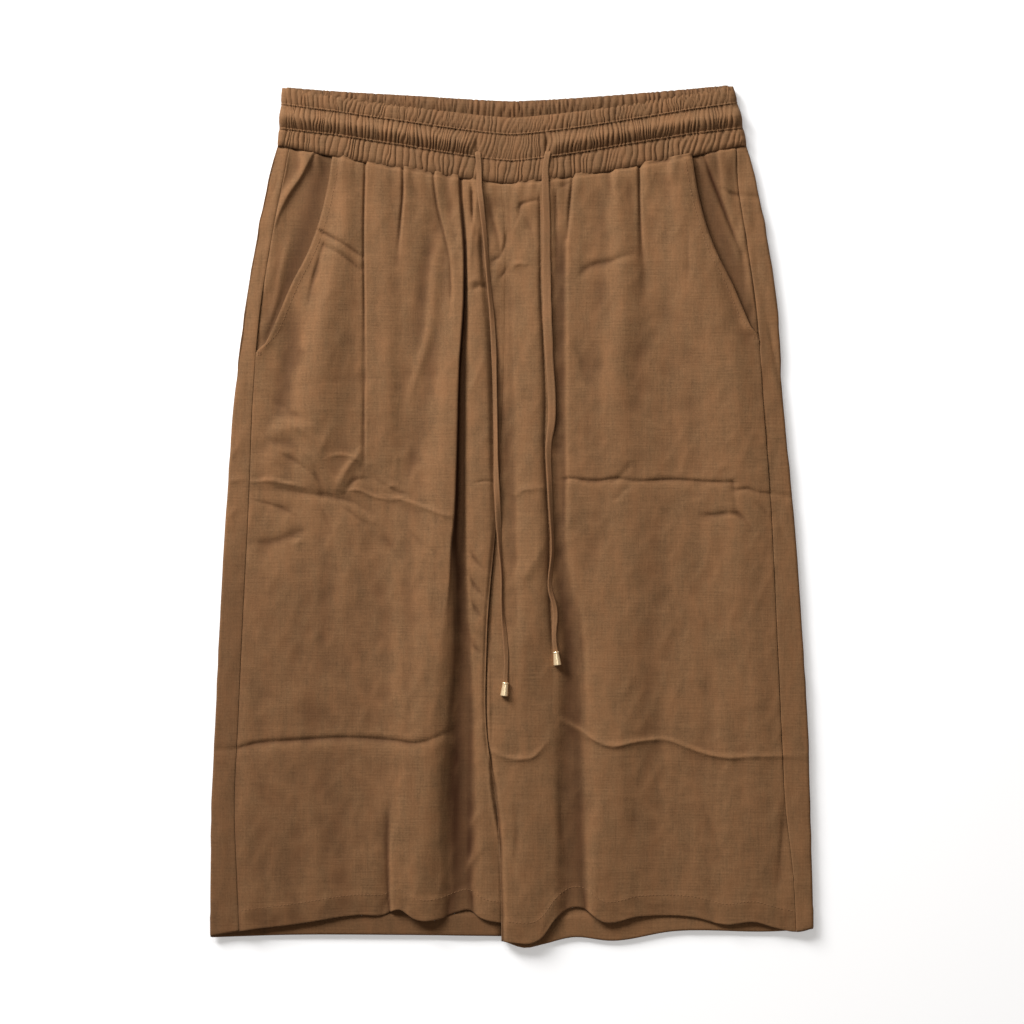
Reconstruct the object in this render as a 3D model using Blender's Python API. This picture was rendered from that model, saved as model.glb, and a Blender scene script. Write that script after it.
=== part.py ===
"""Pull-on culottes laid flat with the front up.

An elasticated waistband in three channels, two pleated fronts with slant pockets, two backs that
wrap round the outer edges to the side seams, and a drawstring with metal ends.

The garment lies on z = 0 with its waist towards +Y. Left is -X and right is +X, as it is looked down
on. The tables are in millimetres: x is measured from the middle of the garment, and a drop is the
distance down from the highest point of the waistband. place() turns them into metres.
"""
import bpy
import bmesh
import numpy as np

MM = 0.001

# Driving dimensions, in millimetres.
LENGTH = 733.0           # top of the waistband to the longest point of the hem
CLOTH = 1.2              # wall of one layer of cloth
HEM_CLOTH = 1.8          # wall where the hem is turned up
HEM_DEPTH = 19.0         # depth of the turned-up hem
HEM_STEP = 4.0           # the wall thickens to it over this height
GAP = 0.3                # clearance between neighbouring pieces
CROTCH_DROP = 350.0      # the legs are one tube above this drop and two below it
PARTING = 60.0           # height over which they come apart
LEG_GAP = 1.2            # clearance between the two legs
LEG_ROUNDING = 9.0       # width over which a front turns down along the inner leg
BAND_GAP = 0.8           # clearance along the waistband's gathered seam
FRONT_LEVEL = 4.1        # middle of the front's wall where it lies flat
FRONT_FLOOR = CLOTH + GAP + CLOTH / 2    # lowest place of that wall, just over the back
FLOOR_SHARPNESS = 2.5    # how suddenly a fold levels out on that place, per millimetre
FRONT_UNDERSIDE = CLOTH + 2 * GAP        # no part of a front reaches below this
MOUTH_CLOSING = 8.0      # length over which a pocket mouth runs into the side seam
UNDERLAP = 12.0          # how far a pocket facing runs on beneath the mouth
FACING_LEVEL = 2.5       # middle of the facing's wall beneath the mouth
FACING_SINKS = (90.0, 10.0)              # heights above its end between which its seam sinks to it
TIE_WIDTH = 4.5          # diameter of a tie's tube
BAND_BACK_WALL = 2.2     # wall of the waistband's back half
BAND_INSIDE = 3.0        # underside of the waistband's front half
BAND_TURN = 4.0          # width of the bend at each side of the waistband
BAND_TURN_INSIDE = 1.6   # the same on its inside

# The outline and the long seams. The wraps are how far each side seam lies in from the folded edge.
SECTION_COLUMNS = ("drop", "left", "right", "left_wrap", "right_wrap", "middle")
SECTIONS = np.array((
    (50, -199, 199, 11, 9, -8),
    (85, -208, 208, 13, 16, -8),
    (125, -216, 216, 13, 18, -5),
    (186, -226, 225, 13, 18, -5),
    (268, -236, 230, 16, 17, -7),
    (349, -242, 238, 19, 19, -12),
    (472, -249, 247, 20, 22, -22),
    (560, -253, 252, 20, 23, -21),
    (600, -255, 253, 20, 22, -14),
    (676, -256, 255, 23, 16, -9),
    (735, -256, 256, 26, 14, -8)))

# The slant pocket mouths, the same distance out on both sides.
MOUTH_COLUMNS = ("drop", "out")
MOUTH = np.array((
    (58, 152), (88, 157), (120, 165), (146, 175), (167, 186), (190, 196), (213, 206), (230, 215)))
MOUTH_END = {"left": 228.0, "right": 214.0}

# Hem edges, as the drop at each x.
HEM_COLUMNS = ("x", "drop")
HEMS = {
    "front_left": np.array((
        (-256, 723), (-228, 718), (-187, 713), (-127, 705), (-109, 705), (-96, 700), (-82, 708),
        (-62, 708), (-47, 703), (-36, 701), (-27, 707), (-8, 712))),
    "front_right": np.array((
        (-8, 727), (0, 728), (26, 723), (37, 708), (48, 700), (62, 700), (74, 709), (109, 706),
        (155, 707), (181, 713), (207, 711), (221, 715), (243, 719), (256, 716))),
    "back_left": np.array(((-256, 724), (-196, 722), (-92, 722), (-8, 723))),
    "back_right": np.array((
        (-8, 727), (11, 733), (26, 730), (51, 724), (85, 727), (136, 719), (220, 719), (256, 717)))}

# Folds that run down the fronts: the line of each, its half width, and how far it rises or sinks.
FOLD_COLUMNS = ("drop", "x", "half_width", "rise")
FOLDS = {
    "front_left": {
        "open fold": np.array((
            (70, -45, 4, -0.5), (166, -41, 4, -2.5), (285, -43, 4.5, -4.5), (381, -46, 5.5, -6.5),
            (477, -44, 6.5, -7), (560, -47, 9, -7), (725, -48, 11, -7))),
        "roll beside the open fold": np.array((
            (70, -58, 9, 0), (120, -58, 12, 1.5), (285, -62, 16, 4), (477, -67, 20, 6),
            (725, -76, 24, 6))),
        "strip inside the open fold": np.array((
            (70, -33, 7, 0), (120, -32, 8, 1.5), (285, -31, 9, 3.5), (477, -31, 9, 4),
            (725, -29, 9, 2.5))),
        "long pleat": np.array((
            (60, -119, 5, 2), (150, -119, 6, 2), (300, -118, 8, 1.2), (360, -118, 9, 0))),
        "short pleat": np.array(((66, -89, 5, 1.8), (110, -89, 6, 1), (150, -89, 7, 0))),
        "fold at the hem": np.array(((600, -100, 8, 0), (725, -101, 8, 2)))},
    "front_right": {
        "roll beside the middle seam": np.array((
            (70, 8, 10, 0), (150, 10, 14, 1.5), (285, 12, 18, 3), (477, 12, 19, 4.5),
            (725, 14, 18, 4.5))),
        "hollow down the leg": np.array((
            (70, 52, 5, 0), (150, 50, 6, -1), (300, 48, 7, -1.5), (450, 50, 10, -2.2),
            (560, 54, 13, -2.6), (725, 55, 13, -2.6))),
        "fullness of the leg": np.array((
            (150, 110, 30, 0), (300, 112, 40, 1.6), (500, 120, 55, 2.6), (725, 125, 60, 2.6))),
        "inner pleat": np.array(((66, 66, 6, 2), (130, 64, 7, 1.4), (220, 62, 9, 0))),
        "outer pleat": np.array(((60, 99, 6, 2), (130, 100, 8, 1.2), (190, 100, 9, 0)))},
    "pocket_facing_left": {
        "tuck": np.array(((58, -173, 5, 1.6), (80, -183, 6, 1.8), (112, -203, 5, 0)))},
    "pocket_facing_right": {
        "tuck": np.array(((52, 178, 5, 1), (90, 184, 6, 1.6), (125, 192, 6, 0)))}}

# The fold that each front's columns crowd round, how far out in half widths, and how many columns
# there are before, across and after it.
CROWDING = {
    "front_left": ("open fold", 1.7, (11, 8, 4)),
    "front_right": ("hollow down the leg", 1.2, (5, 6, 11))}

# Waistband: the front's wall down its height, puffed over each channel and tight at the stitches.
BAND_COLUMNS = ("fraction", "wall", "wall_between_slits")
BAND = np.array((
    (0.00, 2.0, 2.0), (0.12, 3.0, 3.0), (0.235, 2.0, 2.0), (0.31, 4.4, 2.8), (0.43, 5.6, 3.2),
    (0.55, 4.4, 2.8), (0.63, 2.0, 2.0), (0.81, 3.0, 3.0), (1.00, 2.0, 2.0)))
BAND_WIDEST = 194.0      # where its edges reach their side drops
BAND_EDGES = {           # drop in the middle, drop at the sides
    "front_top": (28.5, 0.0), "back_top": (14.5, 0.0), "bottom": (84.5, 52.5)}
BAND_HALF_WIDTHS = (194.0, 199.5)     # at its top and at its bottom
BAND_BEND = 1.3          # how the edges curve up to the sides
GATHER = 0.35            # how far alternate gathers stand out
GATHERS = 35             # columns of the waistband's front
BACK_COLUMNS = 19        # columns of its back
SLIT_X = 30.0            # the ties come out this far from the middle
SLIT_EASE = 8.0          # the band flattens over this much either side of a slit

# Routes of the ties from their slits to their metal ends: x, drop and height of the tube's middle.
TIE_ROUTES = {
    "left": (
        (-29.3, 55, 9.6), (-27.6, 69, 8.5), (-28.5, 85, 8.1), (-24.2, 108, 8.0), (-20.8, 125, 7.9),
        (-18.3, 151, 7.9), (-20, 183, 8.0), (-17.4, 218, 8.0), (-14.9, 244, 7.9), (-15.7, 270, 7.9),
        (-14.9, 294, 7.9), (-13.2, 328, 7.9), (-12.3, 346, 8.1), (-10.6, 367, 8.4),
        (-10.6, 398, 8.2), (-8, 438, 9.0), (-8, 465, 9.2), (-4.7, 480, 9.8), (-5.5, 508, 10.4)),
    "right": (
        (31, 55, 9.5), (28.5, 69, 8.4), (28.5, 90, 7.8), (29.3, 116, 7.7), (29.3, 151, 7.9),
        (30.2, 201, 8.1), (31.9, 235, 8.1), (33.6, 262, 8.1), (33.6, 285, 8.3), (31, 307, 8.6),
        (31.9, 337, 8.8), (32.7, 355, 8.7), (34.4, 395, 8.5), (32.7, 430, 8.9), (36.1, 443, 8.5),
        (36.1, 473, 8.7), (37.4, 482, 9.0))}
TIE_STEP = 2.5           # spacing of the tube's points, in diameters

# Metal ends, turned about the tie: distance along the axis and radius.
AGLET_PROFILE = ((0.0, 2.0), (0.5, 2.7), (1.3, 2.7), (1.7, 2.45), (9.6, 3.1), (11.0, 3.2), (11.6, 2.8))
AGLET_SIDES = 20
AGLET_LEAN = {"left": -1.2, "right": 1.4}     # how far the end drifts sideways over its length

# Rows of the cloth grids, as shares of the way from the waistband to the hem.
ROWS = np.concatenate((np.linspace(0, 0.27, 11), np.linspace(0.27, 0.97, 15)[1:], (1.0,)))
FACING_ROWS = np.linspace(0, 1, 12)
ROUNDS = 6               # times that x and drop are worked out in turn, until they agree
SHARP = np.radians(50)   # edges sharper than this aren't shaded smooth


# ---- numbers into places -------------------------------------------------------------------------

def smooth(at, xs, ys):
    """Curve through the points (xs, ys), read at the given places: cubic pieces whose slope at each
    point is that of the line between its neighbours."""
    xs = np.asarray(xs, float)
    ys = np.asarray(ys, float)
    slopes = np.gradient(ys, xs)
    at = np.clip(at, xs[0], xs[-1])
    piece = np.clip(np.searchsorted(xs, at, side="right") - 1, 0, len(xs) - 2)
    span = xs[piece + 1] - xs[piece]
    t = (at - xs[piece]) / span
    return ((1 + 2 * t) * (1 - t) ** 2 * ys[piece] + t * (1 - t) ** 2 * span * slopes[piece]
            + t * t * (3 - 2 * t) * ys[piece + 1] - t * t * (1 - t) * span * slopes[piece + 1])


def read(table, columns, name, at):
    """Column of a table as a smooth curve of its first column."""
    return smooth(at, table[:, 0], table[:, columns.index(name)])


def section(name, drop):
    return read(SECTIONS, SECTION_COLUMNS, name, drop)


def side_seam(side, drop):
    """x of the side seam, which lies on the front."""
    inward = 1 if side == "left" else -1
    return section(side, drop) + inward * section(side + "_wrap", drop)


def mouth(side, drop):
    """x of the pocket mouth's edge."""
    outward = -1 if side == "left" else 1
    return outward * read(MOUTH, MOUTH_COLUMNS, "out", drop)


def parted(drop):
    """0 where the legs are one tube, 1 where they are two."""
    return ease((drop - CROTCH_DROP) / PARTING)


def middle_edge(side, drop):
    """x of a piece's edge at the middle seam, and at the inner leg once the legs part."""
    outward = -1 if side == "left" else 1
    return section("middle", drop) + outward * (GAP + LEG_GAP * parted(drop)) / 2


def hem(name, x):
    return read(HEMS[name], HEM_COLUMNS, "drop", x)


def band_edge(name, x):
    """Drop of one edge of the waistband: lowest in the middle, curving up to the sides."""
    middle, sides = BAND_EDGES[name]
    return middle - (middle - sides) * np.minimum(np.abs(x) / BAND_WIDEST, 1) ** BAND_BEND


def ease(t):
    """0 to 1 with level ends."""
    t = np.clip(t, 0, 1)
    return t * t * (3 - 2 * t)


def place(x, drop, z):
    """Millimetres in the garment's own terms to metres in the part's frame."""
    x, drop, z = np.broadcast_arrays(x, drop, z)
    return np.stack((x, LENGTH / 2 - drop, z), axis=-1) * MM


def fold_rise(name, x, drop):
    """Sum of the folds of one piece: across its line each is a bell of the given half width."""
    total = np.zeros(np.broadcast(x, drop).shape)
    for table in FOLDS.get(name, {}).values():
        line = read(table, FOLD_COLUMNS, "x", drop)
        half_width = read(table, FOLD_COLUMNS, "half_width", drop)
        rise = np.interp(drop, table[:, 0], table[:, FOLD_COLUMNS.index("rise")], left=0)
        total = total + rise * np.exp(-((x - line) / half_width) ** 2)
    return total


def wall_near_hem(drop, hem_drop):
    """Thickness of the cloth, doubled over at the hem."""
    above_hem = hem_drop - HEM_DEPTH - drop
    return CLOTH + (HEM_CLOTH - CLOTH) * ease(1 - above_hem / HEM_STEP)


# ---- meshes --------------------------------------------------------------------------------------

def material(name, colour, roughness, metallic=0.0):
    made = bpy.data.materials.new(name)
    made.use_nodes = True
    shader = made.node_tree.nodes["Principled BSDF"]
    shader.inputs["Base Color"].default_value = (*colour, 1.0)
    shader.inputs["Roughness"].default_value = roughness
    shader.inputs["Metallic"].default_value = metallic
    return made


def add_mesh(name, points, faces, finish):
    """Object from points in metres and faces, with its faces turned outwards and shaded smooth."""
    mesh = bpy.data.meshes.new(name)
    mesh.from_pydata(points.tolist(), [], faces)
    work = bmesh.new()
    work.from_mesh(mesh)
    bmesh.ops.recalc_face_normals(work, faces=work.faces)
    work.to_mesh(mesh)
    work.free()
    mesh.shade_smooth()
    mesh.set_sharp_from_angle(angle=SHARP)
    mesh.materials.append(finish)
    made = bpy.data.objects.new(name, mesh)
    bpy.context.scene.collection.objects.link(made)
    return made


def grid_faces(rows, columns, first, ring):
    """Quads of a grid of points numbered row by row from first; a ring closes on itself."""
    across = columns if ring else columns - 1
    return [(first + r * columns + c, first + r * columns + (c + 1) % columns,
             first + (r + 1) * columns + (c + 1) % columns, first + (r + 1) * columns + c)
            for r in range(rows - 1) for c in range(across)]


def edge_faces(loop, count):
    """Quads that join a closed border of the outer grid to the same border of the inner one."""
    return [(a, b, b + count, a + count) for a, b in zip(loop, loop[1:] + loop[:1])]


def shell(name, outer, inner, finish, ring=False):
    """Closed wall between two grids of the same size."""
    rows, columns = outer.shape[:2]
    count = rows * columns
    points = np.concatenate((outer.reshape(-1, 3), inner.reshape(-1, 3)))
    faces = grid_faces(rows, columns, 0, ring) + grid_faces(rows, columns, count, ring)
    number = np.arange(count).reshape(rows, columns)
    if ring:
        faces += edge_faces(number[0].tolist(), count) + edge_faces(number[-1].tolist(), count)
    else:
        border = (number[0, :-1].tolist() + number[:-1, -1].tolist()
                  + number[-1, :0:-1].tolist() + number[:0:-1, 0].tolist())
        faces += edge_faces(border, count)
    return add_mesh(name, points, faces, finish)


def cloth(name, middle, wall, finish):
    """Wall of the given thickness about a grid of middle points, half out and half in."""
    down = np.gradient(middle, axis=0)
    across = np.gradient(middle, axis=1)
    normal = np.cross(down, across)
    normal /= np.linalg.norm(normal, axis=-1, keepdims=True)
    half = np.asarray(wall)[..., None] * (MM / 2)
    return shell(name, middle + normal * half, middle - normal * half, finish)


def columns_between(lines, counts, drops):
    """x of each point of a grid whose columns are shared out evenly between lines that run down the
    piece. Each line is a function of the drop."""
    places = [line(drops) for line in lines]
    columns = []
    for left, right, count in zip(places[:-1], places[1:], counts):
        for share in np.arange(count) / count:
            columns.append((1 - share) * left[:, len(columns)] + share * right[:, len(columns)])
    columns.append(places[-1][:, -1])
    return np.stack(columns, axis=1)


def fill_down(rows, count, x_at, bottom_at):
    """x and drop of each point of a grid that runs from the waistband to a hem. x depends on the
    drop and the ends of each column on x, so the two are worked out in turn until they agree."""
    drops = np.repeat(rows[:, None] * LENGTH, count, axis=1)
    for _ in range(ROUNDS):
        x = x_at(drops)
        top = band_edge("bottom", x[:1]) + BAND_GAP
        drops = top + rows[:, None] * (bottom_at(x)[-1:] - top)
    return x, drops


# ---- pieces --------------------------------------------------------------------------------------

def front_outer(side, drop):
    """Outer edge of a front: along the pocket mouth, then down the side seam."""
    seam = side_seam(side, drop)
    slit = mouth(side, drop)
    below = ease(1 - (MOUTH_END[side] - drop) / MOUTH_CLOSING)
    inward = 1 if side == "left" else -1
    return slit + (seam - slit) * below + inward * GAP / 2


def front_piece(side, finish):
    """One front: columns crowded round its deepest fold, each running from the waistband to the
    hem, with the folds added to the level where the cloth lies flat."""
    name = "front_" + side
    deep, reach, counts = CROWDING[name]
    table = FOLDS[name][deep]

    def beside_fold(way):
        return lambda drop: (read(table, FOLD_COLUMNS, "x", drop)
                             + way * reach * read(table, FOLD_COLUMNS, "half_width", drop))

    lines = [lambda drop: front_outer(side, drop), beside_fold(-1), beside_fold(1),
             lambda drop: middle_edge(side, drop)]
    if side == "right":
        lines = [lines[3], lines[1], lines[2], lines[0]]
    x, drops = fill_down(ROWS, sum(counts) + 1, lambda drop: columns_between(lines, counts, drop),
                         lambda x: hem(name, x))
    z = FRONT_LEVEL + fold_rise(name, x, drops)
    z = FRONT_FLOOR + np.logaddexp(0, (z - FRONT_FLOOR) * FLOOR_SHARPNESS) / FLOOR_SHARPNESS
    from_middle = np.abs(x - middle_edge(side, drops))
    turned_down = parted(drops) * (1 - ease(from_middle / LEG_ROUNDING))
    z = FRONT_FLOOR + (z - FRONT_FLOOR) * (1 - turned_down)
    wall = wall_near_hem(drops, hem(name, x))
    z = np.maximum(z, FRONT_UNDERSIDE + wall / 2)
    cloth(name, place(x, drops, z), wall, finish)


def facing_piece(side, finish):
    """Pocket facing: from the side seam to a little way beneath the mouth, and down to its end."""
    name = "pocket_facing_" + side
    inward = 1 if side == "left" else -1
    end = MOUTH_END[side]
    # Each column's share of the width that shows, and of the underlap.
    across = np.array((0, 0.12, 0.3, 0.5, 0.7, 0.88, 1.0, 1.0, 1.0))
    beneath = np.array((0, 0, 0, 0, 0, 0, 0, 0.5, 1.0))

    def x_at(drop):
        seam = side_seam(side, drop) + inward * GAP / 2
        width = np.maximum(inward * (mouth(side, drop) - seam), 1)
        return seam + inward * (width * across + UNDERLAP * beneath)

    x, drops = fill_down(FACING_ROWS, len(across), x_at, lambda x: x * 0 + end)
    highest, lowest = FACING_SINKS
    sunk = ease((highest - (end - drops)) / (highest - lowest))
    seam_level = FRONT_LEVEL + (FACING_LEVEL - FRONT_LEVEL) * sunk
    level = seam_level + (FACING_LEVEL - seam_level) * ease(across / 0.9)
    level = level + fold_rise(name, x, drops) * (1 - ease((across - 0.5) / 0.4))
    cloth(name, place(x, drops, level), CLOTH, finish)


def back_piece(side, finish):
    """One back: flat on the ground from the middle seam to the outer edge, round that edge in half
    a turn, and over the front to the side seam."""
    name = "back_" + side
    outward = -1 if side == "left" else 1
    radius = (FRONT_LEVEL - CLOTH / 2) / 2
    flat = np.array((0, 0.08, 0.18, 0.32, 0.48, 0.66, 0.86, 1.0))
    turn = np.radians((30, 60, 90, 120, 150))
    over = np.array((0.0, 0.4, 0.8, 1.0))
    climb = np.concatenate((flat * 0, (1 - np.cos(turn)) / 2, over * 0 + 1))
    # Each column's share of the three long lines, and how far it stands out from the bend.
    of_inner = np.concatenate((1 - flat, turn * 0, over * 0))
    of_seam = np.concatenate((flat * 0, turn * 0, over))
    stands_out = np.concatenate((flat * 0, np.sin(turn), over * 0))

    def x_at(drop):
        inner = middle_edge(side, drop)
        bend = section(side, drop) - outward * (radius + CLOTH / 2)
        seam = side_seam(side, drop) + outward * GAP / 2
        return (inner * of_inner + seam * of_seam + bend * (1 - of_inner - of_seam)
                + outward * radius * stands_out)

    def bottom_at(x):
        return hem(name, x) + (hem("front_" + side, x) - hem(name, x)) * climb

    x, drops = fill_down(ROWS, len(climb), x_at, bottom_at)
    bottom = bottom_at(x)
    wall = wall_near_hem(drops, bottom)
    lowest = wall / 2
    z = lowest + climb * (FRONT_LEVEL - lowest)
    cloth(name, place(x, drops, z), wall, finish)


def band_walls(x, row):
    """Wall of the waistband's front along one row of its table: thinner between the slits, with
    every other column standing out as a gather where the cloth isn't held tight."""
    _, wall, wall_between = BAND[row]
    wall_here = np.interp(np.abs(x), (SLIT_X - SLIT_EASE, SLIT_X + SLIT_EASE), (wall_between, wall))
    loose = min(1.0, wall - BAND[:, BAND_COLUMNS.index("wall")].min())
    return wall_here + GATHER * loose * np.where(np.arange(len(x)) % 2, 1, -1)


def ring_row(front, back, flat, bend, turn):
    """x and z round one row of the waistband: along the front from left to right, down the right
    side, back along the ground and up the left side. The two sides are half turns."""
    front_x, front_z = front
    back_x, back_z = back
    middle = (front_z[0] + back_z[0]) / 2
    half = (front_z[0] - back_z[0]) / 2
    x = np.concatenate((front_x, flat + bend * np.sin(turn), back_x, -flat - bend * np.sin(turn)))
    z = np.concatenate((front_z, middle + half * np.cos(turn), back_z, middle - half * np.cos(turn)))
    return x, z


def waistband_piece(finish):
    """Ring of the waistband: the back half flat on the ground, the front half over it with its wall
    puffed out over the three channels, and the two joined round the sides."""
    front_u = np.linspace(-1, 1, GATHERS)
    back_u = np.linspace(1, -1, BACK_COLUMNS)
    turn = np.radians((45, 90, 135))
    on_front = np.concatenate((front_u * 0 + 1, (1 + np.cos(turn)) / 2, back_u * 0,
                               (1 - np.cos(turn)) / 2))
    outer_rows = []
    inner_rows = []
    for row, down in enumerate(BAND[:, BAND_COLUMNS.index("fraction")]):
        flat = np.interp(down, (0, 1), BAND_HALF_WIDTHS) - BAND_TURN
        front_x = flat * front_u
        back_x = flat * back_u
        out_x, out_z = ring_row((front_x, BAND_INSIDE + band_walls(front_x, row)),
                                (back_x, back_u * 0), flat, BAND_TURN, turn)
        in_x, in_z = ring_row((front_x, front_u * 0 + BAND_INSIDE),
                              (back_x, back_u * 0 + BAND_BACK_WALL), flat, BAND_TURN_INSIDE, turn)
        top = (band_edge("front_top", out_x) * on_front
               + band_edge("back_top", out_x) * (1 - on_front))
        drops = top + down * (band_edge("bottom", out_x) - top)
        outer_rows.append(place(out_x, drops, out_z))
        inner_rows.append(place(in_x, drops, in_z))
    shell("waistband", np.array(outer_rows), np.array(inner_rows), finish, ring=True)


def route_curve(side):
    """Points on a smooth curve through a tie's route, evenly spaced along it, in millimetres."""
    route = np.array(TIE_ROUTES[side], float)
    reached = np.concatenate(((0,), np.cumsum(np.linalg.norm(np.diff(route, axis=0), axis=1))))
    count = int(reached[-1] / (TIE_STEP * TIE_WIDTH)) + 1
    at = np.linspace(0, reached[-1], count)
    return np.stack([smooth(at, reached, route[:, axis]) for axis in range(3)], axis=1)


def tie_piece(side, finish):
    """Free stretch of one tie, as a plain tube."""
    points = route_curve(side)
    places = place(points[:, 0], points[:, 1], points[:, 2])
    curve = bpy.data.curves.new("drawstring_" + side, "CURVE")
    curve.dimensions = "3D"
    curve.bevel_depth = TIE_WIDTH / 2 * MM
    curve.bevel_resolution = 2
    curve.use_fill_caps = True
    curve.materials.append(finish)
    spline = curve.splines.new("POLY")
    spline.points.add(len(places) - 1)
    spline.points.foreach_set("co", np.column_stack((places, np.ones(len(places)))).ravel())
    made = bpy.data.objects.new("drawstring_" + side, curve)
    bpy.context.scene.collection.objects.link(made)


def aglet_piece(side, finish):
    """Metal end turned about the line on which its tie stops."""
    x, drop, z = route_curve(side)[-1]
    profile = np.array(AGLET_PROFILE)
    axis = np.array((AGLET_LEAN[side], -profile[-1, 0], 0.0))
    axis /= np.linalg.norm(axis)
    sideways = np.array((-axis[1], axis[0], 0.0))
    upward = np.array((0.0, 0.0, 1.0))
    start = np.array((x, LENGTH / 2 - drop, z)) + axis * GAP
    angle = np.linspace(0, 2 * np.pi, AGLET_SIDES, endpoint=False)
    circle = np.cos(angle)[:, None] * sideways + np.sin(angle)[:, None] * upward
    rings = start + profile[:, :1, None] * axis + profile[:, 1:, None] * circle
    faces = grid_faces(len(profile), AGLET_SIDES, 0, ring=True)
    last = (len(profile) - 1) * AGLET_SIDES
    faces.append(tuple(range(AGLET_SIDES)))
    faces.append(tuple(range(last, last + AGLET_SIDES)))
    add_mesh("aglet_" + side, rings.reshape(-1, 3) * MM, faces, finish)


def main():
    for old in list(bpy.data.objects):
        bpy.data.objects.remove(old, do_unlink=True)
    panel_cloth = material("panel_cloth", (0.25, 0.125, 0.06), 0.8)
    band_cloth = material("band_cloth", (0.23, 0.115, 0.055), 0.8)
    tie_cloth = material("tie_cloth", (0.26, 0.13, 0.06), 0.75)
    aglet_metal = material("aglet_metal", (0.85, 0.68, 0.45), 0.25, metallic=1.0)
    waistband_piece(band_cloth)
    for side in ("left", "right"):
        back_piece(side, panel_cloth)
        front_piece(side, panel_cloth)
        facing_piece(side, panel_cloth)
        tie_piece(side, tie_cloth)
        aglet_piece(side, aglet_metal)


main()
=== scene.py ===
# %% [markdown]
# # Culottes laid flat on a pale table
#
# The garment is a pair of pull-on culottes in a plain-woven linen and viscose cloth: a gathered
# waistband in three channels, two pleated fronts with slant pockets, two backs that wrap round to
# side seams on the front, and a flat tie with metal ends. It lies front up, and its cloth keeps the
# creases of the folded stack it came from.
#
# Every piece is a thin wall of cloth about a grid of points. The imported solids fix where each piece
# lies, and this script works out the finer surface on the same outline with numpy.

import bpy
import numpy as np
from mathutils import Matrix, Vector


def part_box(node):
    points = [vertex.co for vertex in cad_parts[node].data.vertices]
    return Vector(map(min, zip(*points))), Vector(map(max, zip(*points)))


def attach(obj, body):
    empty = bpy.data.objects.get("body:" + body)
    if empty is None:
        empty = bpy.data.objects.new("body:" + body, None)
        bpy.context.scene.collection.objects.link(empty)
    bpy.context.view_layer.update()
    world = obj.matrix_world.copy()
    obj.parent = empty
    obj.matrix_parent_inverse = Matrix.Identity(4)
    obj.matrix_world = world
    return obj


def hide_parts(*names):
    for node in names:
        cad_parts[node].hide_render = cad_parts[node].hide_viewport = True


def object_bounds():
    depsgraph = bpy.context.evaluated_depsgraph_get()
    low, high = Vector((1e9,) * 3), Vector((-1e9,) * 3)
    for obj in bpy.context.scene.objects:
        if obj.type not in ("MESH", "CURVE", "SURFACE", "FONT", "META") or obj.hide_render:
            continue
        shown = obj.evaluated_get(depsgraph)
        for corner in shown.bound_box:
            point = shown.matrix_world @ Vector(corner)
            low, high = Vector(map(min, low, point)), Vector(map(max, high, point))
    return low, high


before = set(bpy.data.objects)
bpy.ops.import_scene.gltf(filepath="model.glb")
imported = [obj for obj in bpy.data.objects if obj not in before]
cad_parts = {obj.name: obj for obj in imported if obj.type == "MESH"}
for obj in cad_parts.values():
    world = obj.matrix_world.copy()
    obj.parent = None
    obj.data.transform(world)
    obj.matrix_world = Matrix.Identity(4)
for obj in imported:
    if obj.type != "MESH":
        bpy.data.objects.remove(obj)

cad_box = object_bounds()
MM = 0.001
TOP = cad_box[1][1] / MM          # y of the waistband's highest point, in millimetres
HEM_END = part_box("back_right")[0][1] / MM
LENGTH = TOP - HEM_END
print("the garment is", round(LENGTH), "mm long")

# %% [markdown]
# ## The table, the light and the camera
#
# A flat lay is taken from straight above. One large soft light stands beyond the garment's upper left,
# two weak ones fill in, and a warm white comes from all round, so shadows are short and pale. The
# camera is a long lens 2.4 metres up. The view transform is plain, so that white cloth or paper would
# show as white.

# %% Stage
TABLE_DEPTH = 0.003               # the milky layer lies this far below the table's clear face
CAMERA_HEIGHT = 2.4
FIELD = 0.8704                    # width of the table that the camera sees
CAMERA_Y = 0.0038
TABLE_HALF = 6.0
# A matt white, and the light that comes up through the table's milky top.
TABLE_FINISH = {"Base Color": (0.62, 0.62, 0.625, 1), "Roughness": 0.9, "Specular IOR Level": 0.1,
                "Emission Color": (1, 1, 1, 1), "Emission Strength": 0.335}
SENSOR_WIDTH = 36
# Each light is a disk: name, place, the place it points at, width in metres and power in watts.
LAMPS = (
    ("window", (-2.5, 2.75, 1.85), (0.0, 0.0, 0.0), 1.8, 325),
    ("head", (-0.4, 1.05, 1.1), (0.0, 0.1, 0.0), 0.5, 11),
    ("ceiling", (0.0, 0.0, 2.7), (0.0, 0.0, 0.0), 1.0, 5))
ROOM = {"Color": (1.0, 0.90, 0.80, 1), "Strength": 0.23}


def set_inputs(node, values):
    """Set a node's inputs by their names."""
    for socket, value in values.items():
        node.inputs[socket].default_value = value


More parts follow.
